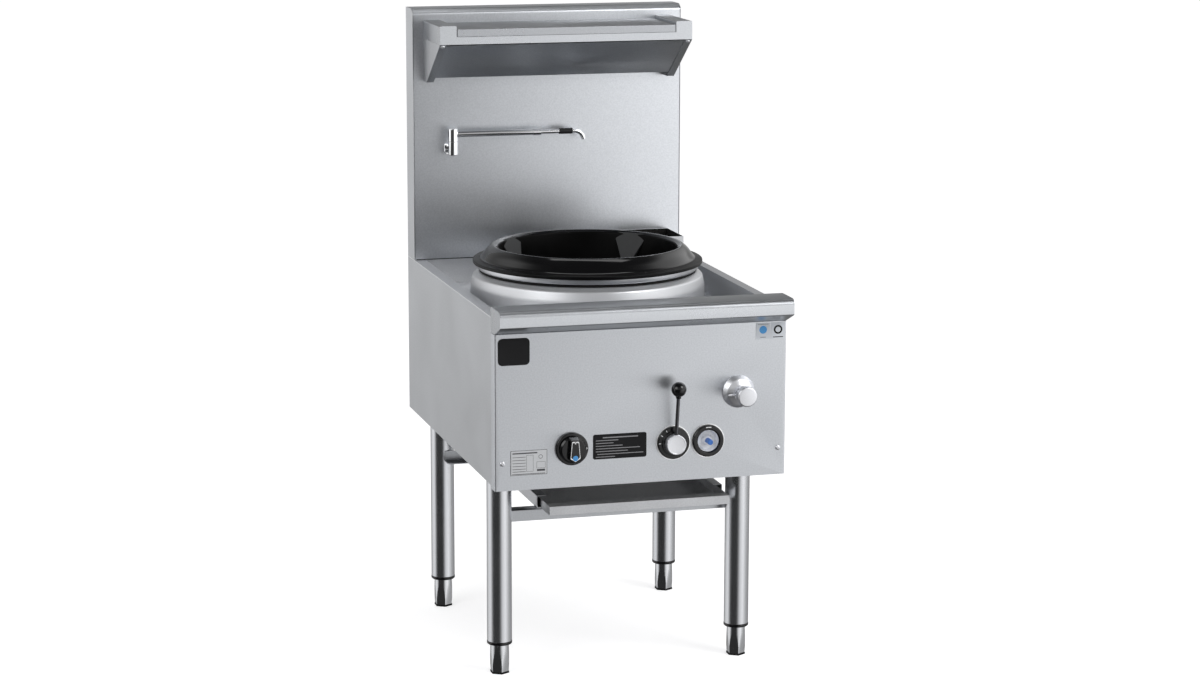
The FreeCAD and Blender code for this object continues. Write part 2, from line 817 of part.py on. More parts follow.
def drip_tray():
    top = tray_bottom + tray_height
    rear = tray_y + tray_length
    tray = block((tray_left, tray_y, tray_bottom), (tray_right, rear, top))
    hollow = block((tray_left + tray_sheet, tray_y + tray_hem, tray_bottom + tray_sheet),
                   (tray_right - tray_sheet, rear - tray_sheet, top + tray_height))
    hem = block((tray_left - bend, tray_y + tray_sheet, tray_bottom + tray_sheet),
                (tray_right + bend, tray_y + tray_hem - tray_sheet, top - tray_sheet))
    return tray.cut(hollow).cut(hem)


# ---------------------------------------------------------------- fire ring and chamber
def ring_lug(angle):
    """Tapered rest that stands in from the ring's inner wall."""
    slope = (ring_mouth - ring_throat) / (ring_crest_z - ring_wall - ring_bottom)
    top = ring_crest_z - ring_wall - lug_drop
    low = top - lug_height
    upper = ring_mouth - lug_stand - slope * lug_drop
    lower = upper - slope * lug_height
    depth = lug_stand + ring_wall / 3
    half_top, half_low = lug_top_width / 2, lug_bottom_width / 2
    side_view = [(upper, top, 0), (upper + depth, top, 0), (lower + depth, low, 0), (lower, low, 0)]
    front_view = [(ring_y - half_top, top, 0), (ring_y + half_top, top, 0),
                  (ring_y + half_low, low, 0), (ring_y - half_low, low, 0)]
    wedge = plate(side_view, "y", ring_y - half_top, ring_y + half_top)
    lug = wedge.common(plate(front_view, "x", 0, ring_radius))
    lug.rotate(at(0, ring_y, 0), up, angle)
    return lug


def wok_ring():
    flange_top = ring_seat_z + ring_flange
    outside = [(ring_radius, ring_seat_z, 0), (ring_radius, flange_top, soft_edge),
               (ring_dome_foot, flange_top + ring_dome_rise, ring_fillet),
               (ring_shoulder_radius, ring_shoulder_z, ring_shoulder_rounding),
               (ring_crest_radius, ring_crest_z, ring_crest_rounding),
               (ring_mouth, ring_crest_z - ring_wall, ring_mouth_rounding)]
    inside = [(ring_throat, ring_bottom, fine_edge), (ring_throat + ring_wall, ring_bottom, fine_edge),
              (ring_mouth + ring_wall, ring_crest_z - ring_skirt_drop, ring_hollow_rounding),
              (ring_hollow_crest, ring_crest_z - ring_hollow_drop, ring_hollow_rounding),
              (ring_hollow_radius, ring_seat_z + ring_hollow_foot, ring_hollow_rounding),
              (ring_seat_inner, ring_seat_z, 0)]
    body = ring_turned(outside + inside)
    lugs = [ring_lug(45 + n * full_turn / lug_count) for n in range(lug_count)]
    return joined([body] + lugs)


def ring_collar():
    top = ring_seat_z - seat
    path = [(collar_radius, collar_bottom, 0), (collar_radius, top, bend),
            (collar_inner, top, bend), (collar_inner, collar_bottom, 0)]
    return ring_turned(thickened(path, drum_sheet))


def drum_gasket():
    inner = liner_flange_radius + seam
    return ring_turned([(inner, gasket_bottom, 0), (gasket_radius, gasket_bottom, 0),
                        (gasket_radius, collar_bottom, 0), (inner, collar_bottom, 0)])


def drum():
    throat = liner_mouth + liner_wall + seam
    path = [(drum_foot_radius - drum_foot_flange, well_floor, 0), (drum_foot_radius, well_floor, 0),
            (drum_waist_radius, drum_waist_z, drum_waist_rounding),
            (drum_shoulder_radius, drum_shoulder_z, drum_shoulder_rounding),
            (drum_top_radius, gasket_bottom, drum_top_rounding), (throat, gasket_bottom, 0)]
    return ring_turned(thickened(path, drum_sheet))


def liner_outside(grown):
    """Outer profile of the chamber below its flange, moved outwards by a gap."""
    neck = liner_mouth + liner_wall + grown
    return [(neck, gasket_bottom, 0), (neck, liner_shoulder_z, 0),
            (liner_mid_radius + grown, liner_mid_z, liner_fold),
            (liner_low_radius + grown, liner_bottom - grown, liner_corner)]


def duct_heading():
    """Level direction from the chamber's axis to the flue duct."""
    return at(duct_x, duct_y - ring_y, 0).normalize()


def chamber_liner():
    rim = [(liner_mouth, collar_bottom, 0), (liner_flange_radius, collar_bottom, 0),
           (liner_flange_radius, gasket_bottom, 0)]
    inside = [(liner_hole, liner_bottom, 0), (liner_hole, chamber_floor, 0),
              (liner_low_radius - liner_wall, chamber_floor, liner_corner),
              (liner_mid_radius - liner_wall, liner_mid_z, liner_fold), (liner_mouth, liner_shoulder_z, 0)]
    liner = ring_turned(rim + liner_outside(0) + inside)
    start = at(0, ring_y, duct_z) + duct_heading() * liner_hole
    liner = liner.cut(rod(duct_radius - duct_wall, start, duct_heading(), liner_mid_radius))
    hole = at(-pilot_circle, ring_y, liner_bottom - liner_floor)
    return liner.cut(rod(pilot_tube_radius + seam, hole, up, 3 * liner_floor))


def flue_duct():
    start = at(0, ring_y, duct_z) + duct_heading() * liner_hole
    points = [start, at(duct_x, duct_y, duct_z), at(duct_x, duct_y, well_floor - sheet)]
    duct = tube(points, duct_bend, duct_radius, duct_radius - duct_wall)
    filled = [(0, gasket_bottom, 0)] + liner_outside(seat) + [(0, liner_bottom - seat, 0)]
    return duct.cut(ring_turned(filled))


def flue_box():
    low = (flue_left, splash_y - flue_depth, well_floor)
    outside = block(low, (flue_left + flue_width, splash_y, flue_top))
    hollow = block((low[0] + sheet, low[1] + sheet, low[2] - sheet),
                   (flue_left + flue_width - sheet, splash_y - sheet, flue_top + sheet))
    return outside.cut(hollow)


# ---------------------------------------------------------------- burner
def burner_head():
    top = chamber_floor + burner_thickness
    roof = top - burner_thickness / 3
    profile = [(burner_bore, burner_hub_bottom, 0), (burner_hub_radius, burner_hub_bottom, 0),
               (burner_hub_radius, chamber_floor, 0), (burner_radius, chamber_floor, 0),
               (burner_radius, top, burner_edge),
               (0, top, 0), (0, roof, 0), (burner_bore, roof, 0)]
    head = ring_turned(profile)
    jets = []
    bores = []
    for n in range(jet_count):
        turn = 2 * math.pi * n / jet_count
        foot_point = at(jet_circle * math.cos(turn), ring_y + jet_circle * math.sin(turn), top)
        jets.append(rod(jet_radius, foot_point, up, jet_height))
        bores.append(rod(jet_bore, foot_point - up * burner_thickness / 3, up, 2 * burner_thickness))
    head = joined([head] + jets)
    return head.cut(Part.makeCompound(bores))


def burner_venturi():
    outer = burner_bore + venturi_wall
    bell_top = venturi_bottom + venturi_bell
    profile = [(burner_bore, burner_hub_bottom, 0), (outer, burner_hub_bottom, 0),
               (outer, bell_top, venturi_rounding), (venturi_mouth, venturi_bottom, 0),
               (venturi_mouth - venturi_wall, venturi_bottom, 0), (burner_bore, bell_top, venturi_rounding)]
    return ring_turned(profile)


def pilot_burner():
    x = -pilot_circle
    tail = liner_bottom - pilot_tail
    bore = pilot_pipe_radius - pilot_pipe_wall
    body = pipe_piece(pilot_tube_radius, bore, at(x, ring_y, tail), up, chamber_floor + pilot_height - tail)
    flange_foot = at(x, ring_y, liner_bottom - pilot_flange)
    flange = pipe_piece(pilot_flange_radius, pilot_pipe_radius, flange_foot, up, pilot_flange)
    clip_z = chamber_floor + pilot_height / 2
    clip = block((x - electrode_radius, ring_y + pilot_pipe_radius, clip_z - electrode_radius),
                 (x + electrode_radius, ring_y + electrode_offset, clip_z + electrode_radius))
    electrode_foot = at(x, ring_y + electrode_offset, chamber_floor + seat)
    electrode = rod(electrode_radius, electrode_foot, up, pilot_height + electrode_radius)
    return joined([body, flange, clip, electrode])


# ---------------------------------------------------------------- valves and pipes
def valve(x, z, ports):
    """Valve behind the front panel: neck through the panel, body, and ports."""
    shoulder = panel_y + sheet + valve_neck
    neck = rod(valve_neck_radius, at(x, panel_y, z), back, sheet + valve_neck)
    body = rod(valve_radius, at(x, shoulder, z), back, valve_length)
    centre = at(x, line_y, z)
    arms = [rod(valve_port_radius, centre, direction, valve_port) for direction in ports]
    solid = joined([neck, body] + arms)
    bore_start = at(x, panel_y - sheet, z)
    return solid.cut(rod(spindle_radius + running, bore_start, back, spindle_depth + 2 * sheet))


def control_valve():
    return valve(knob_x, control_z, [right * -1, right, up])


def main_valve():
    return valve(lever_x, control_z, [right * -1])


def tap_valve():
    return valve(tap_x, tap_z, [up * -1])


def inlet_socket(x, z, pipe_radius):
    """Threaded socket on the rear end of a supply pipe."""
    end = at(x, rear_y - inlet_inset, z)
    return pipe_piece(inlet_radius, pipe_radius, end - back * inlet_length, back, inlet_length)


def inlet_thread(x, z):
    return rod(inlet_bore, at(x, rear_y - inlet_inset, z), back * -1, inlet_length * 2 / 3)


def supply_pipe(points, radius, outer, wall):
    """Pipe whose first point is its threaded inlet at the rear."""
    inlet = points[0]
    pipe = tube(points, radius, outer, outer - wall)
    socket = inlet_socket(inlet.x, inlet.z, outer - wall)
    return joined([pipe, socket]).cut(inlet_thread(inlet.x, inlet.z))


def gas_pipes():
    z = control_z
    bore = gas_pipe_radius - gas_pipe_wall
    feed = supply_pipe([at(gas_inlet_x, rear_y - inlet_inset, z), at(gas_inlet_x, line_y, z),
                        at(knob_x - valve_port, line_y, z)], gas_bend, gas_pipe_radius, gas_pipe_wall)
    link_start = at(knob_x + valve_port, line_y, z)
    link = pipe_piece(gas_pipe_radius, bore, link_start, right, lever_x - knob_x - 2 * valve_port)
    tip = at(0, ring_y, venturi_bottom + seat)
    burner_line = tube([at(lever_x, valve_back, z), at(lever_x, ring_y, z), at(0, ring_y, z), tip],
                       gas_bend, gas_pipe_radius, bore)
    pilot_line = tube([at(knob_x, line_y, z + valve_port), at(knob_x, line_y, pilot_pipe_z),
                       at(knob_x, ring_y, pilot_pipe_z), at(-pilot_circle, ring_y, pilot_pipe_z),
                       at(-pilot_circle, ring_y, liner_bottom - pilot_tail)],
                      pilot_bend, pilot_pipe_radius, pilot_pipe_radius - pilot_pipe_wall)
    return Part.makeCompound([feed, link, burner_line, pilot_line])


def water_pipe():
    bore = water_pipe_radius - water_pipe_wall
    low_run = [at(tap_x, rear_y - inlet_inset, water_inlet_z), at(tap_x, line_y, water_inlet_z),
               at(tap_x, line_y, tap_z - valve_port)]
    feed = supply_pipe(low_run, water_bend, water_pipe_radius, water_pipe_wall)
    high_run = [at(tap_x, valve_back, tap_z), at(tap_x, riser_y, tap_z), at(spout_x, riser_y, tap_z),
                at(spout_x, riser_y, spout_stub_z), at(spout_x, splash_y + spout_stub_tail, spout_stub_z)]
    riser = tube(high_run, water_bend, water_pipe_radius, bore)
    return Part.makeCompound([feed, riser])


# ---------------------------------------------------------------- controls on the front panel
def control_dials():
    """Two fixed dials, under the gas knob and under the flame lever."""
    bore = spindle_radius + seat
    boss = dial_thickness + dial_boss
    profile = [(bore, 0, 0), (dial_radius, 0, 0), (dial_radius, dial_thickness, dial_rounding),
               (dial_boss_radius, dial_thickness, 0), (dial_boss_radius, boss, dial_rounding),
               (bore, boss, 0)]
    return Part.makeCompound([panel_turned(profile, x, control_z) for x in (knob_x, lever_x)])


def spindle(x, z, front):
    return rod(spindle_radius, at(x, panel_y - front, z), back, front + spindle_depth)


def gas_knob():
    low = dial_thickness + dial_boss + seat
    top = low + knob_skirt
    profile = [(0, low, 0), (knob_skirt_radius, low, 0), (knob_skirt_radius, top, dial_rounding), (0, top, 0)]
    skirt = panel_turned(profile, knob_x, control_z)
    half = knob_bar_length / 2
    wide, narrow = knob_bar_bottom / 2, knob_bar_top / 2
    shoulder = half - (wide - narrow)
    outline = [(-wide, -half + wide / 2), (0, -half), (wide, -half + wide / 2), (narrow, shoulder),
               (narrow / 2, half), (-narrow / 2, half), (-narrow, shoulder)]
    corners = [(knob_x + u, control_z + v, dial_rounding) for u, v in outline]
    bar = plate(corners, "y", panel_y - knob_front, panel_y - top)
    face = [edge for edge in bar.Edges if edge.BoundBox.YMax < panel_y - knob_front + running]
    bar = bar.makeChamfer(dial_rounding / 2, face)
    return joined([skirt, bar, spindle(knob_x, control_z, low)])


def stem_heading():
    return at(0, -stem_lean, ball_height).normalize()


def stem_origin():
    return at(lever_x, panel_y - hub_front + hub_face, control_z)


def ball_centre():
    return stem_origin() + at(0, -stem_lean, ball_height)


def lever_hub():
    low = dial_thickness + dial_boss + seat
    profile = [(0, low, 0), (hub_radius, low, 0), (hub_radius, hub_front, soft_edge), (0, hub_front, 0)]
    hub = joined([panel_turned(profile, lever_x, control_z), spindle(lever_x, control_z, low)])
    socket = stem_origin() + stem_heading() * stem_socket
    return hub.cut(rod(stem_radius + running, socket, stem_heading(), hub_radius))


def lever_stem():
    start = stem_origin() + stem_heading() * stem_socket
    end = ball_centre() - stem_heading() * (ball_radius - ball_socket)
    return rod(stem_radius, start, stem_heading(), start.distanceToPoint(end))


def lever_ball():
    ball = Part.makeSphere(ball_radius, ball_centre())
    socket = ball_centre() - stem_heading() * (ball_radius - ball_socket)
    return ball.cut(rod(stem_radius + running, socket, stem_heading() * -1, ball_radius))


def pilot_bezel():
    inner = cup_radius + seat
    profile = [(inner, 0, 0), (bezel_radius, 0, 0), (bezel_radius, bezel_thickness, soft_edge),
               (inner, bezel_thickness, fine_edge)]
    return panel_turned(profile, pilot_x, control_z)


def pilot_cup():
    lip = bezel_thickness - 2 * cup_wall
    hole = button_radius + seat
    path = [(cup_radius, lip, 0), (cup_radius, -cup_depth, soft_edge), (hole, -cup_depth, 0)]
    return panel_turned(thickened(path, -cup_wall), pilot_x, control_z)


def pilot_igniter():
    deep = -cup_depth - igniter_length
    bore_end = -cup_depth - igniter_bore_depth
    tail = button_tail_radius + seat
    tail_end = -cup_depth - 2 * igniter_bore_depth
    profile = [(0, deep, 0), (igniter_radius, deep, fine_edge), (igniter_radius, -cup_depth, 0),
               (igniter_bore, -cup_depth, 0), (igniter_bore, bore_end, 0), (tail, bore_end, 0),
               (tail, tail_end, 0), (0, tail_end, 0)]
    return panel_turned(profile, pilot_x, control_z)


def pilot_button():
    shoulder = -cup_depth - seat
    shoulder_end = shoulder - button_travel
    tail_end = -cup_depth - 2 * igniter_bore_depth + 2 * button_travel
    profile = [(0, button_front, 0), (button_radius, button_front, fine_edge), (button_radius, shoulder, 0),
               (button_shoulder, shoulder, 0), (button_shoulder, shoulder_end, 0),
               (button_tail_radius, shoulder_end, 0), (button_tail_radius, tail_end, 0), (0, tail_end, 0)]
    return panel_turned(profile, pilot_x, control_z)


def pilot_spring():
    """Return spring of the pilot button, drawn at its pressed length as a plain sleeve."""
    low = -cup_depth - igniter_bore_depth
    high = -cup_depth - 2 * button_travel - 2 * seat
    profile = [(spring_inner, low, 0), (spring_radius, low, 0), (spring_radius, high, 0),
               (spring_inner, high, 0)]
    return panel_turned(profile, pilot_x, control_z)


def tap_flange():
    bore = tap_hub_radius + seat
    profile = [(bore, 0, 0), (tap_flange_radius, 0, 0), (tap_flange_radius, tap_flange_rim, fine_edge),
               (tap_flange_radius - tap_shoulder, tap_dome - tap_shoulder_drop, tap_shoulder_rounding),
               (tap_dome_radius, tap_dome, tap_dome_rounding), (bore, tap_dome, 0)]
    return panel_turned(profile, tap_x, tap_z)


def tap_handle():
    neck = tap_reach - tap_knob_thickness
    profile = [(0, sheet, 0), (tap_hub_radius, sheet, 0), (tap_hub_radius, neck, soft_edge),
               (tap_knob_radius, neck, soft_edge), (tap_knob_radius, tap_reach, tap_knob_rounding),
               (0, tap_reach, 0)]
    knob = panel_turned(profile, tap_x, tap_z)
    pin = rod(tap_pin_radius, at(tap_x, panel_y - tap_pin_depth, tap_z), right * -1, tap_pin_reach)
    return joined([knob, pin, spindle(tap_x, tap_z, sheet)])


# ---------------------------------------------------------------- spout
def spout_elbow():
    stub_end = splash_y + spout_stub_tail
    stub = rod(spout_stub_radius, at(spout_x, spout_y, spout_stub_z), back, stub_end - spout_y)
    flange = rod(spout_plate_radius, at(spout_x, splash_y - spout_plate, spout_stub_z), back, spout_plate)
    pin_top = spout_top - spout_cap - seat
    profile = [(0, spout_bottom, 0), (spout_radius, spout_bottom, soft_edge), (spout_radius, spout_split, 0),
               (spout_pin_radius, spout_split, 0), (spout_pin_radius, pin_top, 0), (0, pin_top, 0)]
    return joined([turned(profile, at(spout_x, spout_y, 0)), stub, flange])


def spout_barrel():
    low = spout_split + seat
    bore_top = spout_top - spout_cap
    inner = spout_pin_radius + running
    profile = [(inner, low, 0), (spout_radius, low, 0), (spout_radius, spout_top, spout_edge),
               (0, spout_top, 0), (0, bore_top, 0), (inner, bore_top, 0)]
    return turned(profile, at(spout_x, spout_y, 0))


def spout_arm():
    start = at(spout_x, spout_y, arm_z)
    bore = tube_radius + running
    sleeve = rod(arm_radius, start, right, arm_end - spout_x)
    collar = rod(arm_collar_radius, at(arm_end, spout_y, arm_z), right, arm_collar_end - arm_end)
    arm = joined([sleeve, collar]).cut(rod(bore, start, right, 2 * (arm_collar_end - spout_x)))
    head = rod(spout_radius + running, at(spout_x, spout_y, spout_bottom), up, spout_top - spout_bottom)
    return arm.cut(head)


def spout_tube():
    points = [at(arm_end - tube_hidden, spout_y, arm_z), at(nozzle_corner, spout_y, arm_z),
              at(nozzle_end, spout_y, arm_z - nozzle_drop)]
    return tube(points, nozzle_bend, tube_radius, tube_bore)


def spout_grip():
    start = at(grip_start, spout_y, arm_z)
    return pipe_piece(arm_radius, tube_radius + running, start, right, grip_end - grip_start)


# ---------------------------------------------------------------- plates and screws
def panel_plates():
    """Blank plates and labels on the front panel."""
    solids = []
    plates = (rating_plate, guide_plate, name_plate, left_sticker, right_sticker)
    for left, width, low, height, radius in plates:
        corners = [(left, low, radius), (left + width, low, radius), (left + width, low + height, radius),
                   (left, low + height, radius)]
        solids.append(plate(corners, "y", panel_y - plate_thickness, panel_y))
    return Part.makeCompound(solids)


def panel_screws():
    solids = [screw(place, back) for place in panel_screw_places()]
    rear_places = rear_screw_places(side_bottom, deck) + rear_screw_places(deck, total_height)
    solids += [screw(place, back * -1) for place in rear_places]
    shelf_screw = screw(*bracket_screw())
    return Part.makeCompound(solids + [shelf_screw, mirrored(shelf_screw)])


# ---------------------------------------------------------------- all pieces
nodes = {
    "well_pan": well_pan(),
    "side_panel_left": mirrored(side_panel()),
    "side_panel_right": side_panel(),
    "front_panel": front_panel(),
    "front_rail": front_rail(),
    "rear_panel": rear_panel(),
    "splash_face": splash_face(),
    "splash_side_left": mirrored(splash_side()),
    "splash_side_right": splash_side(),
    "splash_back": splash_back(),
    "shelf_frame": shelf_frame(),
    "shelf_insert": shelf_insert(),
    "shelf_underside": shelf_underside(),
    "shelf_bracket_left": mirrored(shelf_bracket()),
    "shelf_bracket_right": shelf_bracket(),
    "front_cross_rail": front_cross_rail(),
    "rear_cross_rail": rear_cross_rail(),
    "runner_left": runner(-1),
    "runner_right": runner(1),
    "drip_tray": drip_tray(),
    "drum": drum(),
    "drum_gasket": drum_gasket(),
    "ring_collar": ring_collar(),
    "wok_ring": wok_ring(),
    "chamber_liner": chamber_liner(),
    "flue_duct": flue_duct(),
    "flue_box": flue_box(),
    "burner_head": burner_head(),
    "burner_venturi": burner_venturi(),
    "pilot_burner": pilot_burner(),
    "control_valve": control_valve(),
    "main_valve": main_valve(),
    "tap_valve": tap_valve(),
    "gas_pipes": gas_pipes(),
    "water_pipe": water_pipe(),
    "control_dials": control_dials(),
    "gas_knob": gas_knob(),
    "lever_hub": lever_hub(),
    "lever_stem": lever_stem(),
    "lever_ball": lever_ball(),
    "pilot_bezel": pilot_bezel(),
    "pilot_cup": pilot_cup(),
    "pilot_igniter": pilot_igniter(),
    "pilot_button": pilot_button(),
    "pilot_spring": pilot_spring(),
    "tap_flange": tap_flange(),
    "tap_handle": tap_handle(),
    "spout_elbow": spout_elbow(),
    "spout_barrel": spout_barrel(),
    "spout_arm": spout_arm(),
    "spout_tube": spout_tube(),
    "spout_grip": spout_grip(),
    "panel_plates": panel_plates(),
    "panel_screws": panel_screws(),
}
for side_name, side_sign in (("left", -1), ("right", 1)):
    for end_name, leg_y in (("front", front_leg_y), ("rear", rear_leg_y)):
        nodes["leg_" + end_name + "_" + side_name] = leg(side_sign * leg_x, leg_y)
        nodes["foot_" + end_name + "_" + side_name] = foot(side_sign * leg_x, leg_y)

os.makedirs("parts", exist_ok=True)
for name, shape in nodes.items():
    shape.exportStep("parts/" + name + ".step")
    state = "valid" if shape.isValid() else "broken"
    print(name, len(shape.Solids), "solids", round(shape.Volume), "mm3", state)
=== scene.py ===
import json
import math

import bmesh
import bpy
from mathutils import Matrix, Vector

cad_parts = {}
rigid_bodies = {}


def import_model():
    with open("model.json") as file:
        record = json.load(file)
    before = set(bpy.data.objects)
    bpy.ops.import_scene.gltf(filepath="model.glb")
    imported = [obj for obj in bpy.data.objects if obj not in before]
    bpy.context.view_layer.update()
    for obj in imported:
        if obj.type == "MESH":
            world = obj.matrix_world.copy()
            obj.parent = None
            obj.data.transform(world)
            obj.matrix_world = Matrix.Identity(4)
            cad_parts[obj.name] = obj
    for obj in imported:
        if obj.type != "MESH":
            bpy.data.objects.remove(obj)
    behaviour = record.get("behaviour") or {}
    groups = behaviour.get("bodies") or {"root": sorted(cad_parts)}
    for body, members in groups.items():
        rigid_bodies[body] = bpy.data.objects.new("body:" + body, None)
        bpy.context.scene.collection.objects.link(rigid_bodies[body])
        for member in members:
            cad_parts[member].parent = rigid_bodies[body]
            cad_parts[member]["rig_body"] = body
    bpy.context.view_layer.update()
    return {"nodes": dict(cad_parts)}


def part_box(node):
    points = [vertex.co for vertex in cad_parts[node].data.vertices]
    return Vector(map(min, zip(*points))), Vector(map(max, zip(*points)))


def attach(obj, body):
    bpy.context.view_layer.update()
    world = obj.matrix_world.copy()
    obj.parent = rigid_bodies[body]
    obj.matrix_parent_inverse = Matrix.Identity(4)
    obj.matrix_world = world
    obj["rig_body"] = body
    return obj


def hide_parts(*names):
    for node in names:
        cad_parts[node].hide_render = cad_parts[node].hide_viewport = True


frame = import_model()

mm = 0.001
xAxis = Vector((1, 0, 0))
zAxis = Vector((0, 0, 1))
outward = Vector((0, -1, 0))       # the way the front panel looks
scene = bpy.context.scene


def middle(nodeName):
    low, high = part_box(nodeName)
    return (low + high) / 2


# the camera stands to the left of the range and a little above it
cameraSet = {
    "place": (-1.6727, -6.0206, 1.8417),
    "yaw": math.radians(15.64),       # towards the right-hand side
    "pitch": math.radians(10.84),     # down
    "roll": math.radians(0.13),
    "lens": 91.42,
    "sensor": 36.0,
    "shiftX": 0.00134,
    "shiftY": -0.0005,
    "reach": 200,
}


def buildCamera(values):
    yaw, pitch, roll = values["yaw"], values["pitch"], values["roll"]
    ahead = Vector((math.sin(yaw) * math.cos(pitch), math.cos(yaw) * math.cos(pitch), -math.sin(pitch)))
    level = Vector((math.cos(yaw), -math.sin(yaw), 0))
    above = level.cross(ahead)
    side = level * math.cos(roll) + above * math.sin(roll)
    top = above * math.cos(roll) - level * math.sin(roll)
    data = bpy.data.cameras.new("rangeCamera")
    data.lens = values["lens"]
    data.sensor_width = values["sensor"]
    data.shift_x = values["shiftX"]
    data.shift_y = values["shiftY"]
    data.clip_end = values["reach"]
    camera = bpy.data.objects.new("rangeCamera", data)
    camera.matrix_world = Matrix((side, top, -ahead)).transposed().to_4x4()
    camera.location = values["place"]
    scene.collection.objects.link(camera)
    scene.camera = camera


buildCamera(cameraSet)
scene.view_settings.view_transform = "Standard"
print("camera set")


# small helpers for node trees
def feed(tree, node, **inputs):
    # sets or links inputs by name, with underscores for spaces, or by place as i0, i1 and so on
    for name, value in inputs.items():
        socket = node.inputs[int(name[1:])] if name[1:].isdigit() else node.inputs[name.replace("_", " ")]
        if isinstance(value, bpy.types.NodeSocket):
            tree.links.new(value, socket)
        else:
            socket.default_value = value
    return node


def addNode(tree, kind, settings=None, **inputs):
    node = tree.nodes.new(kind)
    for name, value in (settings or {}).items():
        setattr(node, name, value)
    return feed(tree, node, **inputs)


def compute(tree, operation, a, b=0.0):
    return addNode(tree, "ShaderNodeMath", {"operation": operation}, i0=a, i1=b).outputs[0]


def times(tree, a, b):
    return compute(tree, "MULTIPLY", a, b)


def plus(tree, a, b):
    return compute(tree, "ADD", a, b)


def ramp(tree, value, low, high, toLow=0.0, toHigh=1.0, smooth=False):
    kind = {"interpolation_type": "SMOOTHSTEP" if smooth else "LINEAR"}
    node = addNode(tree, "ShaderNodeMapRange", kind, Value=value, From_Min=low, From_Max=high, To_Min=toLow,
                   To_Max=toHigh)
    return node.outputs["Result"]


def mixColour(tree, factor, first, second):
    first, second = ((*value, 1) if isinstance(value, tuple) else value for value in (first, second))
    return addNode(tree, "ShaderNodeMix", {"data_type": "RGBA"}, i0=factor, i6=first, i7=second).outputs[2]


def mixLevel(tree, factor, first, second):
    return addNode(tree, "ShaderNodeMix", {"data_type": "FLOAT"}, i0=factor, i2=first, i3=second).outputs[0]


def noise(tree, vector, scale, detail=3, **others):
    return addNode(tree, "ShaderNodeTexNoise", Vector=vector, Scale=scale, Detail=detail, **others).outputs[0]


def partsOf(tree, vector):
    return addNode(tree, "ShaderNodeSeparateXYZ", i0=vector).outputs


def surfaceNormal(tree):
    return addNode(tree, "ShaderNodeNewGeometry").outputs["Normal"]


def objectPlace(tree):
    return addNode(tree, "ShaderNodeTexCoord").outputs["Object"]


def newGroup(name, inputs, outputs):
    # inputs by name with their defaults; three numbers make a vector
    tree = bpy.data.node_groups.new(name, "ShaderNodeTree")
    for label, value in inputs.items():
        kind = "NodeSocketVector" if isinstance(value, tuple) else "NodeSocketFloat"
        tree.interface.new_socket(name=label, in_out="INPUT", socket_type=kind).default_value = value
    for label in outputs:
        tree.interface.new_socket(name=label, in_out="OUTPUT", socket_type="NodeSocketFloat")
    return tree, addNode(tree, "NodeGroupInput").outputs, addNode(tree, "NodeGroupOutput")


def placed(tree, group, **inputs):
    # the outputs of a shared group, put into a material
    return addNode(tree, "ShaderNodeGroup", {"node_tree": group}, Vector=objectPlace(tree), **inputs).outputs


# fine grain of rolled or brushed sheet, and the large faint marks of wiping
grainLook = {"grainRange": (0.3, 0.7), "smudgeRange": (0.32, 0.68)}


def buildGrainGroup(values):
    tree, given, out = newGroup("steelGrain", {"Vector": (0, 0, 0), "Stretch": (1, 1, 1), "Fineness": 900.0,
                                               "Smudge size": 7.0}, ["Grain", "Smudge"])
    stretched = addNode(tree, "ShaderNodeVectorMath", {"operation": "MULTIPLY"}, i0=given["Vector"],
                        i1=given["Stretch"]).outputs[0]
    grain = noise(tree, stretched, given["Fineness"], Roughness=0.65)
    smudge = noise(tree, given["Vector"], given["Smudge size"], 4, Roughness=0.6, Distortion=0.4)
    feed(tree, out, Grain=ramp(tree, grain, *values["grainRange"]),
         Smudge=ramp(tree, smudge, *values["smudgeRange"]))
    return tree


# mask of the edges that rubbing makes brighter
edgeLook = {"samples": 4, "facingRange": (0.98, 0.85), "breakRange": (0.35, 0.6)}


def buildEdgeGroup(values):
    tree, given, out = newGroup("edgeRub", {"Vector": (0, 0, 0), "Reach": 0.001, "Breakup": 120.0}, ["Edge"])
    rounded = addNode(tree, "ShaderNodeBevel", {"samples": values["samples"]}, Radius=given["Reach"])
    facing = addNode(tree, "ShaderNodeVectorMath", {"operation": "DOT_PRODUCT"}, i0=rounded.outputs[0],
                     i1=surfaceNormal(tree)).outputs["Value"]
    broken = ramp(tree, noise(tree, given["Vector"], given["Breakup"]), *values["breakRange"])
    feed(tree, out, Edge=times(tree, ramp(tree, facing, *values["facingRange"]), broken))
    return tree


# mask of the faces that look up, where shade is painted and the sheet is dulled
topLook = {"facingRange": (0.12, 0.60), "patchRange": (0.3, 0.7), "patchLevel": (0.85, 1.0)}


def buildTopGroup(values):
    tree, given, out = newGroup("topShadeMask", {"Vector": (0, 0, 0), "Patch size": 14.0}, ["Top"])
    top = ramp(tree, partsOf(tree, surfaceNormal(tree))[2], *values["facingRange"], smooth=True)
    patches = noise(tree, given["Vector"], given["Patch size"])
    feed(tree, out, Top=times(tree, top, ramp(tree, patches, *values["patchRange"], *values["patchLevel"])))
    return tree


# a wide sheet is never quite flat between its folds
def buildBowGroup():
    tree, given, out = newGroup("sheetBow", {"Vector": (0, 0, 0), "Bow": -0.1}, ["Height"])
    x = partsOf(tree, given["Vector"])[0]
    feed(tree, out, Height=times(tree, times(tree, x, x), given["Bow"]))
    return tree


grainGroup = buildGrainGroup(grainLook)
edgeGroup = buildEdgeGroup(edgeLook)
topGroup = buildTopGroup(topLook)
bowGroup = buildBowGroup()


def newMaterial(name):
    material = bpy.data.materials.new(name)
    material.use_nodes = True
    tree = material.node_tree
    return material, tree, tree.nodes["Principled BSDF"]


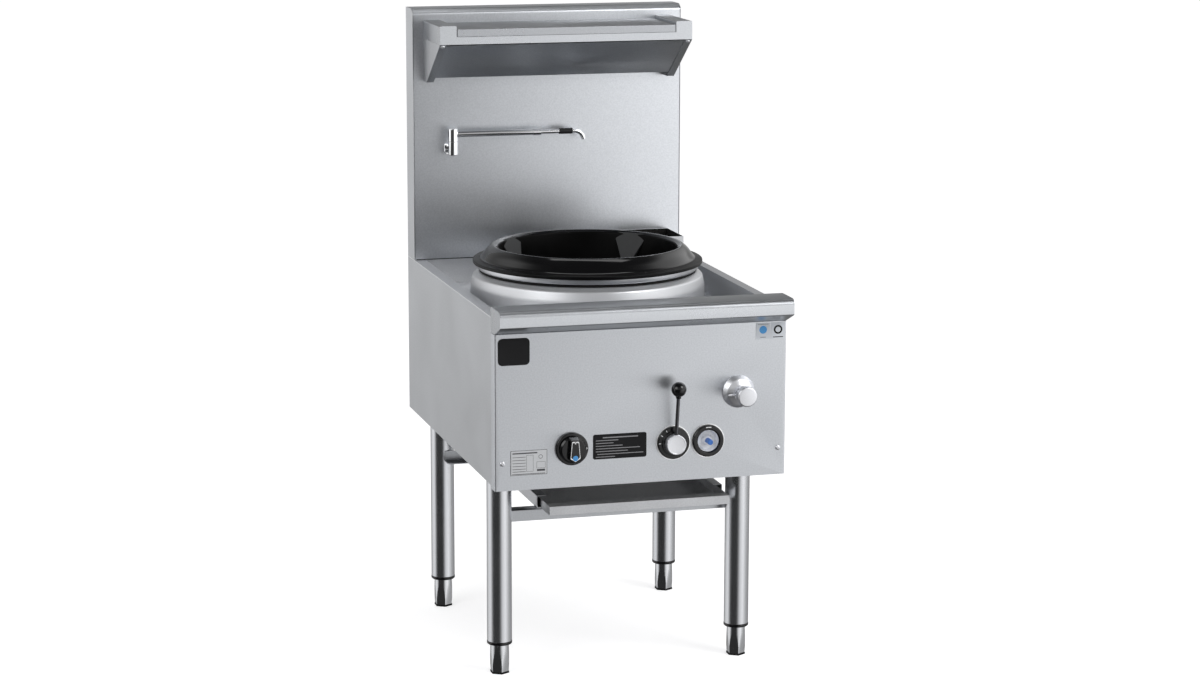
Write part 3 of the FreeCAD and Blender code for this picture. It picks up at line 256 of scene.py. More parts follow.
def bumpFrom(tree, shader, height, strength, distance, over=None):
    bump = addNode(tree, "ShaderNodeBump", Height=height, Strength=strength, Distance=distance)
    if over:
        feed(tree, bump, Normal=over)
    feed(tree, shader, Normal=bump.outputs[0])
    return bump.outputs[0]


metalLook = {"grainShare": 0.75, "grainDepth": 0.1 * mm, "paintedTopShade": 0.35, "topDullRough": 0.15}
glossLook = {"smudgeSize": 12.0, "grainDepth": 0.2 * mm}


def metalFinish(name, dark, light, rough, fineness, bump, smudgeSize, stretch=(1, 1, 1), anisotropic=0.0,
                worn=0.0, metallic=1.0, bow=0.0):
    material, tree, shader = newMaterial(name)
    grain, smudge = placed(tree, grainGroup, Stretch=stretch, Fineness=fineness, Smudge_size=smudgeSize)
    share = metalLook["grainShare"]
    shade = plus(tree, times(tree, grain, share), times(tree, smudge, 1 - share))
    colour = mixColour(tree, shade, dark, light)
    roughness = ramp(tree, smudge, 0, 1, *rough)
    if worn:
        # painted shade: upper faces are painted darker, and made rougher
        top = times(tree, placed(tree, topGroup)["Top"], worn)
        colour = mixColour(tree, top, colour, tuple(metalLook["paintedTopShade"] * part for part in dark))
        roughness = plus(tree, roughness, times(tree, top, metalLook["topDullRough"]))
    feed(tree, shader, Base_Color=colour, Roughness=roughness, Metallic=metallic, Anisotropic=anisotropic)
    bowed = None
    if bow:
        bowed = bumpFrom(tree, shader, placed(tree, bowGroup, Bow=bow)["Height"], 1.0, 1.0)
    if bump:
        bumpFrom(tree, shader, grain, bump, metalLook["grainDepth"], bowed)
    return material


def glossFinish(name, dark, light, rough, rubColour, rub, bump, fineness, metallic=0.0, specular=0.5):
    material, tree, shader = newMaterial(name)
    grain, smudge = placed(tree, grainGroup, Fineness=fineness, Smudge_size=glossLook["smudgeSize"])
    edge = placed(tree, edgeGroup, Reach=rub * mm)["Edge"]
    colour = mixColour(tree, edge, mixColour(tree, smudge, dark, light), rubColour)
    feed(tree, shader, Base_Color=colour, Roughness=ramp(tree, smudge, 0, 1, *rough), Metallic=metallic,
         Specular_IOR_Level=specular)
    if bump:
        bumpFrom(tree, shader, grain, bump, glossLook["grainDepth"])
    return material


alongZ = (1, 1, 0.15)
roundZ = (1, 1, 4)
metals = {
    # dark and light end of the colour, roughness range, grain's fineness, bump, smudge size, what differs
    # a top share paints shade on the faces that look up and dulls them
    "panelSheet": ((0.58, 0.60, 0.63), (0.71, 0.73, 0.765), (0.31, 0.36), 330, 0.02, 5,
                   {"anisotropic": 0.85, "worn": 0.55}),
    "splashSheet": ((0.58, 0.60, 0.63), (0.71, 0.73, 0.765), (0.33, 0.38), 330, 0.02, 5,
                    {"anisotropic": 0.45, "worn": 0.55, "bow": -0.13}),
    # the insert is a darker copy of the sheet: painted shade on the shelf's top
    "insertSheet": ((0.46, 0.475, 0.50), (0.55, 0.565, 0.59), (0.26, 0.31), 420, 0.02, 6,
                    {"anisotropic": 0.4, "worn": 0.85}),
    "railSheet": ((0.60, 0.62, 0.65), (0.69, 0.71, 0.74), (0.26, 0.31), 420, 0.02, 6,
                  {"anisotropic": 0.4, "worn": 0.85}),
    "sideSheet": ((0.56, 0.575, 0.595), (0.68, 0.695, 0.72), (0.31, 0.37), 330, 0.02, 4,
                  {"anisotropic": 0.5}),
    "underSheet": ((0.44, 0.455, 0.475), (0.53, 0.545, 0.57), (0.33, 0.38), 420, 0.02, 6, {}),
    "wellSheet": ((0.58, 0.59, 0.61), (0.66, 0.67, 0.69), (0.36, 0.44), 500, 0.03, 9, {}),
    "traySheet": ((0.56, 0.57, 0.59), (0.70, 0.71, 0.73), (0.38, 0.50), 420, 0.05, 12, {}),
    # a lighter copy of the tray's sheet, painted light for the tray's floor
    "trayFloor": ((0.72, 0.73, 0.75), (0.86, 0.87, 0.89), (0.40, 0.50), 420, 0.05, 12, {"metallic": 0.1}),
    "flueSoot": ((0.012, 0.012, 0.012), (0.045, 0.044, 0.042), (0.55, 0.70), 300, 0.05, 25, {}),
    "spunSteel": ((0.58, 0.59, 0.61), (0.66, 0.67, 0.69), (0.38, 0.44), 600, 0.03, 8,
                  {"stretch": roundZ, "metallic": 0.7}),
    "collarSteel": ((0.44, 0.45, 0.47), (0.52, 0.53, 0.55), (0.28, 0.34), 600, 0.03, 7, {"stretch": roundZ}),
    "tubeSteel": ((0.60, 0.61, 0.635), (0.63, 0.64, 0.665), (0.23, 0.27), 500, 0, 7, {"stretch": alongZ}),
    "footSteel": ((0.56, 0.57, 0.59), (0.62, 0.63, 0.65), (0.14, 0.20), 700, 0.03, 7, {}),
    "chrome": ((0.84, 0.85, 0.87), (0.92, 0.93, 0.94), (0.04, 0.08), 300, 0, 7, {}),
    "rimSilver": ((0.92, 0.93, 0.94), (0.96, 0.965, 0.97), (0.30, 0.36), 900, 0, 7, {}),
    "rubbedEdge": ((0.90, 0.91, 0.92), (0.96, 0.965, 0.97), (0.30, 0.36), 900, 0, 7, {"metallic": 0.2}),
    "satinSilver": ((0.76, 0.77, 0.80), (0.86, 0.87, 0.90), (0.38, 0.46), 900, 0.05, 7, {}),
    "silverLabel": ((0.60, 0.61, 0.63), (0.68, 0.69, 0.71), (0.36, 0.44), 900, 0.02, 7, {}),
    "darkSteel": ((0.10, 0.10, 0.11), (0.17, 0.17, 0.18), (0.25, 0.34), 900, 0.05, 7, {"stretch": alongZ}),
    "zincPipe": ((0.38, 0.40, 0.42), (0.52, 0.54, 0.57), (0.30, 0.42), 500, 0.15, 30, {}),
    "brass": ((0.55, 0.40, 0.16), (0.72, 0.55, 0.27), (0.22, 0.34), 900, 0.10, 30, {}),
}
glosses = {
    # dark and light end, roughness range, colour and reach (mm) of rubbed edges, bump, fineness, what differs
    "castIron": ((0.035, 0.033, 0.032), (0.075, 0.068, 0.062), (0.55, 0.75), (0.16, 0.15, 0.14),
                 0.8, 0.6, 500, {"metallic": 0.6}),
    "ringEnamel": ((0.002, 0.002, 0.0025), (0.004, 0.004, 0.0045), (0.07, 0.11), (0.010, 0.010, 0.011),
                   1.2, 0.02, 90, {"specular": 0.40}),
    "flangeEnamel": ((0.002, 0.002, 0.002), (0.004, 0.004, 0.0045), (0.30, 0.40), (0.008, 0.008, 0.008),
                     0.8, 0.03, 90, {"specular": 0.12}),
    "throatEnamel": ((0.0015, 0.0015, 0.0015), (0.003, 0.003, 0.003), (0.30, 0.45), (0.006, 0.006, 0.006),
                     0.8, 0.03, 90, {"specular": 0.06}),
    "lugEnamel": ((0.036, 0.037, 0.038), (0.048, 0.049, 0.051), (0.55, 0.62), (0.06, 0.06, 0.062),
                  0.8, 0.15, 700, {"specular": 0.25}),
    "cupSilver": ((0.70, 0.72, 0.76), (0.78, 0.80, 0.84), (0.28, 0.36), (0.85, 0.86, 0.89), 0.4, 0.02, 600,
                  {"metallic": 0.15}),
    "blackGloss": ((0.003, 0.003, 0.0035), (0.006, 0.006, 0.0065), (0.10, 0.16), (0.02, 0.02, 0.021),
                   0.5, 0.02, 300, {"specular": 0.45}),
    "blackGrip": ((0.008, 0.008, 0.009), (0.014, 0.014, 0.015), (0.45, 0.6), (0.03, 0.03, 0.03),
                  0.4, 0.3, 1600, {"specular": 0.30}),
    "seal": ((0.006, 0.006, 0.006), (0.012, 0.012, 0.012), (0.7, 0.85), (0.03, 0.03, 0.03), 0.5, 0.5, 900,
             {"specular": 0.20}),
    "blackPlate": ((0.008, 0.008, 0.009), (0.012, 0.012, 0.013), (0.40, 0.50), (0.03, 0.03, 0.03),
                   0.3, 0.05, 900, {"specular": 0.15}),
    "whiteInk": ((0.86, 0.87, 0.88), (0.94, 0.95, 0.96), (0.5, 0.6), (0.9, 0.9, 0.9), 0.1, 0, 60, {}),
    "greyInk": ((0.22, 0.22, 0.23), (0.30, 0.30, 0.31), (0.5, 0.6), (0.3, 0.3, 0.3), 0.1, 0, 60, {}),
    "darkInk": ((0.05, 0.05, 0.055), (0.08, 0.08, 0.085), (0.5, 0.6), (0.1, 0.1, 0.1), 0.1, 0, 60, {}),
    "blueInk": ((0.06, 0.28, 0.62), (0.08, 0.34, 0.70), (0.4, 0.5), (0.2, 0.4, 0.75), 0.1, 0, 60, {}),
    "paperLabel": ((0.60, 0.63, 0.67), (0.68, 0.71, 0.75), (0.4, 0.5), (0.7, 0.7, 0.7), 0.1, 0, 60, {}),
    "blueCap": ((0.02, 0.11, 0.42), (0.04, 0.16, 0.52), (0.25, 0.35), (0.15, 0.30, 0.65), 0.3, 0.03, 600, {}),
    "igniterMould": ((0.03, 0.03, 0.032), (0.05, 0.05, 0.052), (0.45, 0.6), (0.08, 0.08, 0.08), 0.4, 0.2, 900,
                     {}),
}
finishes = {}
for buildFinish, table in ((metalFinish, metals), (glossFinish, glosses)):
    for finishName, (*plain, special) in table.items():
        finishes[finishName] = buildFinish(finishName, *plain, **special)
print("finishes built:", len(finishes))


# mesh helpers: every piece is an object at the origin with its place in its mesh
foldedAngle, turnedAngle, headAngle = 35, 30, 40       # edges sharper than this stay sharp


def pieceFrom(shape, name, material, degrees=0):
    mesh = bpy.data.meshes.new(name)
    shape.to_mesh(mesh)
    shape.free()
    if degrees:
        mesh.shade_smooth()
        mesh.set_sharp_from_angle(angle=math.radians(degrees))
    piece = bpy.data.objects.new(name, mesh)
    scene.collection.objects.link(piece)
    mesh.materials.append(material)
    return piece


def settle(piece, body, slotName, *nodeNames):
    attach(piece, body)
    if nodeNames:
        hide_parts(*nodeNames)


def flattened(piece):
    # the evaluated result as a plain mesh, with no modifier left
    graph = bpy.context.evaluated_depsgraph_get()
    mesh = bpy.data.meshes.new_from_object(piece.evaluated_get(graph), depsgraph=graph)
    piece.modifiers.clear()
    piece.data = mesh
    return piece


def softenEdges(piece, width, segments=2, degrees=50):
    bevel = piece.modifiers.new("softEdge", "BEVEL")
    bevel.width = width
    bevel.segments = segments
    bevel.limit_method = "ANGLE"
    bevel.angle_limit = math.radians(degrees)
    bevel.harden_normals = True
    bevel.miter_outer = "MITER_ARC"
    return flattened(piece)


def dressedCopy(nodeName, material, width):
    # the CAD node's own shape, its facets joined up and its edges slightly broken
    shape = bmesh.new()
    shape.from_mesh(frame["nodes"][nodeName].data)
    bmesh.ops.remove_doubles(shape, verts=shape.verts, dist=0.002 * mm)
    bmesh.ops.dissolve_limit(shape, angle_limit=math.radians(0.3), verts=shape.verts, edges=shape.edges)
    first, *others = nodeName.split("_")
    piece = pieceFrom(shape, first + "".join(word.capitalize() for word in others), material, foldedAngle)
    if width:
        softenEdges(piece, width)
    # a bevel's mitre can overshoot a sharp corner
    low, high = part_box(nodeName)
    for vertex in piece.data.vertices:
        vertex.co = [min(max(value, least), most) for value, least, most in zip(vertex.co, low, high)]
    return piece


def coatWhere(piece, finishName, chosen):
    # one more finish, on the faces that the test picks
    index = len(piece.data.materials)
    piece.data.materials.append(finishes[finishName])
    for face in piece.data.polygons:
        if chosen(face.center, face.normal):
            face.material_index = index


def roundedPath(corners, steps=6):
    # (radius, along, rounding) corners as points, each rounding an arc
    points = []
    for index, (u, v, rounding) in enumerate(corners):
        here = Vector((u, v))
        if rounding <= 0:
            points.append(here)
            continue
        last = (Vector(corners[index - 1][:2]) - here).normalized()
        following = (Vector(corners[(index + 1) % len(corners)][:2]) - here).normalized()
        half = last.angle(following) / 2
        reach = rounding / math.tan(half)
        centre = here + (last + following).normalized() * (rounding / math.sin(half))
        start = here + last * reach - centre
        sweep = start.angle_signed(here + following * reach - centre)
        for step in range(steps + 1):
            turned = start.copy()
            turned.rotate(Matrix.Rotation(-sweep * step / steps, 2))
            points.append(centre + turned)
    return points


def addSkin(shape, rows, closed):
    # faces between rows of places, where a row of one place is a pole; an open skin gets a cap at each end
    count = max(len(row) for row in rows)
    rings = [[shape.verts.new(place) for place in row] * (count // len(row)) for row in rows]
    pairs = list(zip(rings, rings[1:] + rings[:1]))
    if not closed:
        pairs.pop()
        shape.faces.new(rings[0])
        shape.faces.new(list(reversed(rings[-1])))
    for lower, upper in pairs:
        for n in range(count):
            m = (n + 1) % count
            corners = list(dict.fromkeys((lower[m], lower[n], upper[n], upper[m])))
            if len(corners) > 2:
                shape.faces.new(corners)


def skinned(name, skins, material, degrees, closed=True):
    shape = bmesh.new()
    for rows in skins:
        addSkin(shape, rows, closed)
    bmesh.ops.remove_doubles(shape, verts=shape.verts, dist=0.001 * mm)
    bmesh.ops.recalc_face_normals(shape, faces=shape.faces)
    return pieceFrom(shape, name, material, degrees)


def lathe(name, corners, foot, material, axis=zAxis, side=xAxis, segments=96, steps=6):
    # solid of revolution; a profile that touches the axis closes in a pole
    across = axis.cross(side)
    turns = [2 * math.pi * n / segments for n in range(segments)]
    rows = []
    for radius, along in roundedPath(corners, steps):
        centre = foot + axis * along
        row = [centre + side * radius * math.cos(turn) + across * radius * math.sin(turn) for turn in turns]
        rows.append(row if radius > 0.001 * mm else [centre])
    return skinned(name, [rows], material, turnedAngle)


def slab(name, outline, start, end, axis, material, width=0.0):
    # flat piece from an outline of (across, over, rounding) corners, with its thickness along one axis
    order = {"x": (2, 0, 1), "y": (0, 2, 1), "z": (0, 1, 2)}[axis]
    points = roundedPath(outline)
    rows = [[Vector([(p.x, p.y, along)[part] for part in order]) for p in points] for along in (start, end)]
    piece = skinned(name, [rows], material, foldedAngle, closed=False)
    return softenEdges(piece, width) if width else piece


def boxOutline(left, low, right, top, rounding=0):
    return [(left, low, rounding), (right, low, rounding), (right, top, rounding), (left, top, rounding)]


def ringProfile(inner, outer, low, high, edges=(0, 0, 0, 0)):
    # a lathe's four corners, with the roundings of inner low, outer low, outer high and inner high
    return list(zip((inner, outer, outer, inner), (low, low, high, high), edges))


def metres(profile):
    return [tuple(value * mm for value in corner) for corner in profile]


def joinInto(name, pieces):
    # one object from several, at the origin
    shape = bmesh.new()
    material = pieces[0].data.materials[0]
    for piece in pieces:
        shape.from_mesh(piece.data)
        bpy.data.objects.remove(piece)
    return pieceFrom(shape, name, material)


# pieces that keep the CAD shape, with broken edges: finish, slot, width of the edge in mm, nodes
dressedPieces = (
    ("wellSheet", "cabinet_steel", 0.35, ("well_pan", "flue_box", "flue_duct")),
    ("sideSheet", "cabinet_steel", 0.35, ("side_panel_left", "side_panel_right", "splash_side_left",
                                          "splash_side_right", "splash_back", "shelf_bracket_left",
                                          "shelf_bracket_right")),
    ("panelSheet", "cabinet_steel", 0.35, ("front_panel", "rear_panel", "shelf_underside")),
    ("splashSheet", "cabinet_steel", 0.35, ("splash_face",)),
    ("railSheet", "cabinet_steel", 0.35, ("front_rail", "shelf_frame")),
    ("insertSheet", "cabinet_steel", 0.35, ("shelf_insert",)),
    ("underSheet", "cabinet_steel", 0.35, ("front_cross_rail", "rear_cross_rail")),
    ("traySheet", "cabinet_steel", 0.35, ("runner_left", "runner_right", "drip_tray")),
    ("castIron", "chamber_iron", 0, ("chamber_liner", "burner_head", "burner_venturi")),
    ("brass", "valve_brass", 0, ("pilot_burner", "control_valve", "main_valve", "tap_valve")),
    ("zincPipe", "gas_pipe_steel", 0, ("gas_pipes",)),
    ("tubeSteel", "water_pipe_steel", 0, ("water_pipe",)),
    ("igniterMould", "igniter_plastic", 0, ("pilot_igniter",)),
    ("chrome", "spring_steel", 0, ("pilot_spring",)),
    ("blueCap", "blue_button", 0.5, ("pilot_button",)),
    ("chrome", "spout_chrome", 0.2, ("spout_elbow", "spout_arm")),
    ("chrome", "spout_chrome", 0.3, ("spout_barrel",)),
    ("chrome", "spout_chrome", 0.1, ("spout_tube",)),
    ("blackGrip", "black_grip", 0.3, ("spout_grip",)),
    ("footSteel", "foot_steel", 0.4, ("foot_front_left", "foot_front_right", "foot_rear_left",
                                      "foot_rear_right")),
)
dressed = {}
for finishName, slotName, edge, nodeNames in dressedPieces:
    for nodeName in nodeNames:
        dressed[nodeName] = dressedCopy(nodeName, finishes[finishName], edge * mm)
        settle(dressed[nodeName], frame["nodes"][nodeName]["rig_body"], slotName, nodeName)
print("pieces dressed:", len(dressed))

# the flue box is sooty inside, and the tray's floor is a lighter, nearly unmetallic copy of the tray's sheet:
# painted light on the floor under the cabinet
flueLow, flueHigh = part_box("flue_box")
sootReach = {"wall": 1.0 * mm, "upright": 0.5}
floorUp = 0.7


def insideFlue(centre, normal):
    away = centre - (flueLow + flueHigh) / 2
    wall = sootReach["wall"]
    facesIn = abs(normal.z) < sootReach["upright"] and Vector((away.x, away.y, 0)).dot(normal) < 0
    return facesIn and all(flueLow[n] + wall < centre[n] < flueHigh[n] - wall for n in (0, 1))


coatWhere(dressed["flue_box"], "flueSoot", insideFlue)
coatWhere(dressed["drip_tray"], "trayFloor", lambda centre, normal: normal.z > floorUp)

# the cut edge of the well's rim is rubbed bright, and painted near white there as a highlight
rimEdge = {"reach": 0.6 * mm, "depth": 2.0 * mm}
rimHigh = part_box("well_pan")[1]


def onRimEdge(centre, normal):
    return abs(centre.x) > rimHigh.x - rimEdge["reach"] and centre.z > rimHigh.z - rimEdge["depth"]


coatWhere(dressed["well_pan"], "rubbedEdge", onRimEdge)

# dark sealant along the foot of the splashback, up to the flue box
splashSeal = {"start": 2.4, "stop": 1.0, "height": 1.8, "proud": 0.8, "edge": 0.25}


def buildSplashSeal(values):
    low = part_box("splash_face")[0]
    start, stop, height, proud, edge = (value * mm for value in values.values())
    outline = boxOutline(low.x + start, low.z, flueLow.x - stop, low.z + height)
    strip = slab("splashSeal", outline, low.y - proud, low.y + edge, "y", finishes["seal"], edge)
    settle(strip, "root", "gasket_rope")


buildSplashSeal(splashSeal)

# the boxed front edge of the tray is closed at both ends
trayCap = {"inset": 1.4, "thickness": 1.2, "depth": 23.0, "edge": 0.3}


def buildTrayCaps(values):
    low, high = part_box("drip_tray")
    inset, thickness, depth, edge = (value * mm for value in values.values())
    outline = boxOutline(low.y + inset, low.z + inset, low.y + inset + depth, high.z - inset)
    caps = [slab("cap", outline, start, start + thickness, "x", finishes["traySheet"], edge)
            for start in (low.x, high.x - thickness)]
    settle(joinInto("trayHemCaps", caps), "drip_tray", "cabinet_steel")


buildTrayCaps(trayCap)
print("sheet pieces finished")


# the cast ring, its collar, its seal and the drum, turned about one upright axis
ringShape = {
    "segments": 192, "steps": 8,
    # radius, height above the ring's lower edge, rounding
    "ring": ((240, 29.5, 1), (240, 36, 1.5), (224, 38.5, 14), (209, 59.5, 54), (197, 67.5, 6), (187, 61, 4),
             (180, 0, 1), (186.5, 0, 1), (193.5, 52.5, 3), (199, 57.5, 3), (213, 33.5, 2), (221, 29.5, 0)),
    "collar": ((206, 0, 1), (231, 0, 2.5), (231, 11.2, 2.5), (206, 11.2, 1)),
    "seal": ((205, 0, 1), (227.5, 0, 2.5), (227.5, 6, 2.5), (205, 6, 1)),
    "drum": ((234, 0, 0), (246, 0, 1), (244.5, 46, 40), (240, 65, 8), (228, 73, 6), (196.2, 73, 0.5),
             (196.2, 71, 0.5), (227.2, 71, 4), (238.2, 63.8, 6), (242.5, 46, 38), (244, 2, 0), (234, 2, 0)),
    "lugTurns": (45, 135, 225, 315),
    "lugTop": (63.5, 84.0, 187.5, 194.0),      # height, width, how far its face and back are from the axis
    "lugBottom": (9.0, 26.0, 167.0, 182.5),
    "lugEdge": 1.2,
    "throatRadius": 189.5,
    "flangeRadius": 225.0,
}
ringCentre = middle("wok_ring")


def turnedUpright(name, nodeName, profileName, finishName):
    centre = middle(nodeName)
    foot = Vector((centre.x, centre.y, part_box(nodeName)[0].z))
    return lathe(name, metres(ringShape[profileName]), foot, finishes[finishName],
                 segments=ringShape["segments"], steps=ringShape["steps"])


def buildLugs(values):
    foot = Vector((ringCentre.x, ringCentre.y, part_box("wok_ring")[0].z))
    lugs = []
    for turn in values["lugTurns"]:
        away = Vector((math.cos(math.radians(turn)), math.sin(math.radians(turn)), 0))
        across = zAxis.cross(away)
        rows = []
        for side in (2, 3):
            row = []
            for corner, sign in (("lugTop", -1), ("lugTop", 1), ("lugBottom", 1), ("lugBottom", -1)):
                height, width = values[corner][:2]
                place = away * values[corner][side] + across * (sign * width / 2) + zAxis * height
                row.append(foot + place * mm)
            rows.append(row)
        lugs.append(rows)
    piece = skinned("ringLugs", lugs, finishes["lugEnamel"], foldedAngle, closed=False)
    return softenEdges(piece, values["lugEdge"] * mm, 3)


def fromAxis(centre):
    return Vector((centre.x - ringCentre.x, centre.y - ringCentre.y, 0))


def insideThroat(centre, normal):
    away = fromAxis(centre)
    return away.length < ringShape["throatRadius"] * mm and normal.dot(away) < 0


def onFlange(centre, normal):
    return fromAxis(centre).length > ringShape["flangeRadius"] * mm


wokRing = turnedUpright("wokRing", "wok_ring", "ring", "ringEnamel")
# painted shade: the throat's inside gets a darker copy of the enamel that hardly reflects
coatWhere(wokRing, "throatEnamel", insideThroat)
coatWhere(wokRing, "flangeEnamel", onFlange)
settle(wokRing, "wok_ring", "ring_enamel", "wok_ring")
settle(buildLugs(ringShape), "wok_ring", "ring_enamel")
for pieceName, nodeName, profileName, finishName, slotName in (
        ("ringCollar", "ring_collar", "collar", "collarSteel", "cabinet_steel"),
        ("drumSeal", "drum_gasket", "seal", "seal", "gasket_rope"),
        ("drumShell", "drum", "drum", "spunSteel", "drum_steel")):
    settle(turnedUpright(pieceName, nodeName, profileName, finishName), "root", slotName, nodeName)
print("ring and drum turned")


# legs: a polished tube with a black end ring and a square plate on top, and a sole under the foot
legShape = {
    "radius": 25.4 * mm, "wall": 1.5 * mm, "edge": 0.8 * mm, "segments": 72,
    "ringHeight": 6.8 * mm, "ringProud": 0.5 * mm, "ringBore": 0.34, "ringRound": 3.0 * mm,
    "plate": 60.0 * mm, "plateThickness": 4.0 * mm, "plateRound": 3.0 * mm, "plateEdge": 0.4 * mm,
    "soleHeight": 4.0 * mm, "soleProud": 0.25 * mm, "soleRound": 0.8 * mm, "soleEdge": 0.4 * mm,
}


def buildLeg(values, corner, nodeName):
    low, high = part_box(nodeName)
    centre = middle(nodeName)
    foot = Vector((centre.x, centre.y, 0))
    bottom = low.z + values["ringHeight"]
    radius, edge, segments = values["radius"], values["edge"], values["segments"]
    profile = ringProfile(radius - values["wall"], radius, bottom, high.z, (0, edge, 0, 0))
    tube = lathe("tube", profile, foot, finishes["tubeSteel"], segments=segments)
    half = values["plate"] / 2
    square = boxOutline(centre.x - half, centre.y - half, centre.x + half, centre.y + half,
                        values["plateRound"])
    plate = slab("plate", square, high.z - values["plateThickness"], high.z, "z", finishes["tubeSteel"],
                 values["plateEdge"])
    settle(joinInto("leg" + corner, [tube, plate]), "root", "leg_steel", nodeName)
    outer = radius + values["ringProud"]
    profile = ringProfile(values["ringBore"] * outer, outer, low.z, bottom, (0, values["ringRound"], edge, 0))
    ring = lathe("legRing" + corner, profile, foot, finishes["blackGloss"], segments=segments)
    settle(ring, "root", "black_gloss")


def buildSole(values, corner, nodeName):
    # black rim round the lower edge of the hexagonal foot
    centre = middle(nodeName)
    low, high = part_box(nodeName)
    reach, rounding = (high.y - low.y) / 2 + values["soleProud"], values["soleRound"]
    outline = []
    for n in range(6):
        turn = math.radians(90 + 60 * n)
        outline.append((centre.x + reach * math.cos(turn), centre.y + reach * math.sin(turn), rounding))
    sole = slab("footSole" + corner, outline, 0.0, values["soleHeight"], "z", finishes["seal"],
                values["soleEdge"])
    settle(sole, nodeName, "gasket_rope")


for corner in ("front_left", "front_right", "rear_left", "rear_right"):
    cornerName = "".join(word.capitalize() for word in corner.split("_"))
    buildLeg(legShape, cornerName, "leg_" + corner)
    buildSole(legShape, cornerName, "foot_" + corner)
print("legs built")


# controls on the front panel, turned about axes that point out of it
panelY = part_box("front_panel")[0].y
printLift = 0.15                         # printed marks stand this far out
markRound = 0.3                          # rounding of a mark's corners, as a share of its lesser side
turnSegments = {"dot": 24, "pin": 32, "stem": 40, "disc": 48, "boss": 64, "ball": 64, "cup": 72}


def onPanel(x, z):
    return Vector((x, panelY, z))


def footOf(nodeName):
    centre = middle(nodeName)
    return onPanel(centre.x, centre.z)


def turnedOnPanel(name, profile, foot, finishName, segments=96, steps=6):
    return lathe(name, metres(profile), foot, finishes[finishName], outward, xAxis, segments, steps)


def buildRim(name, foot, rim):
    # thin pale line round a dial
    profile = ringProfile(rim[0], rim[1], 0, rim[2], (0.2, 0, 0.3, 0.3))
    settle(turnedOnPanel(name, profile, foot, "rimSilver", steps=3), "root", "satin_silver")


def buildMark(name, foot, turn, reach, length, width, low, lift, finishName):
    # a short bar that points away from the dial's axis
    along = Vector((math.cos(math.radians(turn)), math.sin(math.radians(turn))))
    across = Vector((-along.y, along.x))
    outline = []
    for u, v, rounding in boxOutline(-0.5, -0.5, 0.5, 0.5, markRound * min(length, width)):
        place = along * (reach + u * length) + across * (v * width)
        outline.append((foot.x + place.x * mm, foot.z + place.y * mm, rounding * mm))
    return slab(name, outline, foot.y - low * mm, foot.y - (low + lift) * mm, "y", finishes[finishName])


dialShape = {
    "knobX": -144.0, "leverX": 65.0, "height": 496.0, "top": 6,
    "profile": ((0, 0, 0), (33, 0, 0), (33, 6, 1.8), (25, 6, 0.6), (25, 10, 1.2), (0, 10, 0)),
    "rim": (33.0, 35.4, 1.2),            # inner and outer radius, height
    "markReach": 29.0, "markLength": 4.5, "markWidth": 1.3,
    "leverMarks": (180, 148, 122),
    "dotRadius": 1.7,
}


def buildDials(values):
    knob, lever = (onPanel(values[name] * mm, values["height"] * mm) for name in ("knobX", "leverX"))
    dials = [turnedOnPanel("dial", values["profile"], foot, "blackGloss") for foot in (knob, lever)]
    settle(joinInto("controlDials", dials), "root", "black_gloss", "control_dials")
    buildRim("leverDialRim", lever, values["rim"])
    top, reach = values["top"], values["markReach"]
    marks = [buildMark("mark", lever, turn, reach, values["markLength"], values["markWidth"], top, printLift,
                       "whiteInk") for turn in values["leverMarks"]]
    settle(joinInto("leverDialMarks", marks), "root", "plate_black")
    dot = turnedOnPanel("knobDialDot", ringProfile(0, values["dotRadius"], top, top + printLift),
                        knob + xAxis * reach * mm, "whiteInk", turnSegments["dot"])
    settle(dot, "root", "plate_black")
    return knob, lever


knobFoot, leverFoot = buildDials(dialShape)

knobShape = {
    "skirt": ((0, 10.3, 0), (27, 10.3, 0.6), (27, 12.5, 0.6), (23.5, 15.3, 1.5), (0, 15.3, 0)),
    "barRoot": 12.0, "barFront": 30.0, "draft": 0.86,
    # half width and height of the bar's corners, seen from the front
    "bar": ((-9, 26), (9, 26), (13, -18), (0, -26.5), (-13, -18)),
    "barRounding": 1.5, "barEdge": 0.9,
    "lineInset": (0.90, 0.80), "lineLift": 0.12,
    "indexSize": (2.2, 4.6), "indexHeight": 17.5,
    "capRadius": 5.4, "capHeight": -13.5, "capLift": 0.5, "capEdge": 0.3,
}


def buildKnob(values, foot):
    draft, front, lift = values["draft"], values["barFront"], values["lineLift"]

    def barRow(scale, level):
        corners = [(u * scale * mm, v * scale * mm, values["barRounding"] * mm) for u, v in values["bar"]]
        return [Vector((foot.x + p.x, foot.y - level * mm, foot.z + p.y)) for p in roundedPath(corners, 4)]

    skirt = turnedOnPanel("skirt", values["skirt"], foot, "blackGloss")
    rows = [barRow(1, values["barRoot"]), barRow(draft, front)]
    bar = skinned("bar", [rows], finishes["blackGloss"], turnedAngle, closed=False)
    softenEdges(bar, values["barEdge"] * mm, 3, 40)
    settle(joinInto("gasKnob", [skirt, bar]), "gas_knob", "black_gloss", "gas_knob")
    # narrow raised line that follows the bar's outline
    outer, inner = (draft * inset for inset in values["lineInset"])
    top = front + lift
    rows = [barRow(outer, front), barRow(outer, top), barRow(inner, top), barRow(inner, front)]
    settle(skinned("gasKnobLine", [rows], finishes["whiteInk"], 0), "gas_knob", "satin_silver")
    width, height = values["indexSize"]
    mark = buildMark("gasKnobIndex", foot, 90, values["indexHeight"], height, width, front, lift, "whiteInk")
    settle(mark, "gas_knob", "plate_black")
    profile = ringProfile(0, values["capRadius"], front, front + values["capLift"],
                          (0, 0, values["capEdge"], 0))
    capFoot = foot + zAxis * values["capHeight"] * mm
    cap = turnedOnPanel("gasKnobCap", profile, capFoot, "blueInk", turnSegments["disc"])
    settle(cap, "gas_knob", "blue_button")


buildKnob(knobShape, knobFoot)

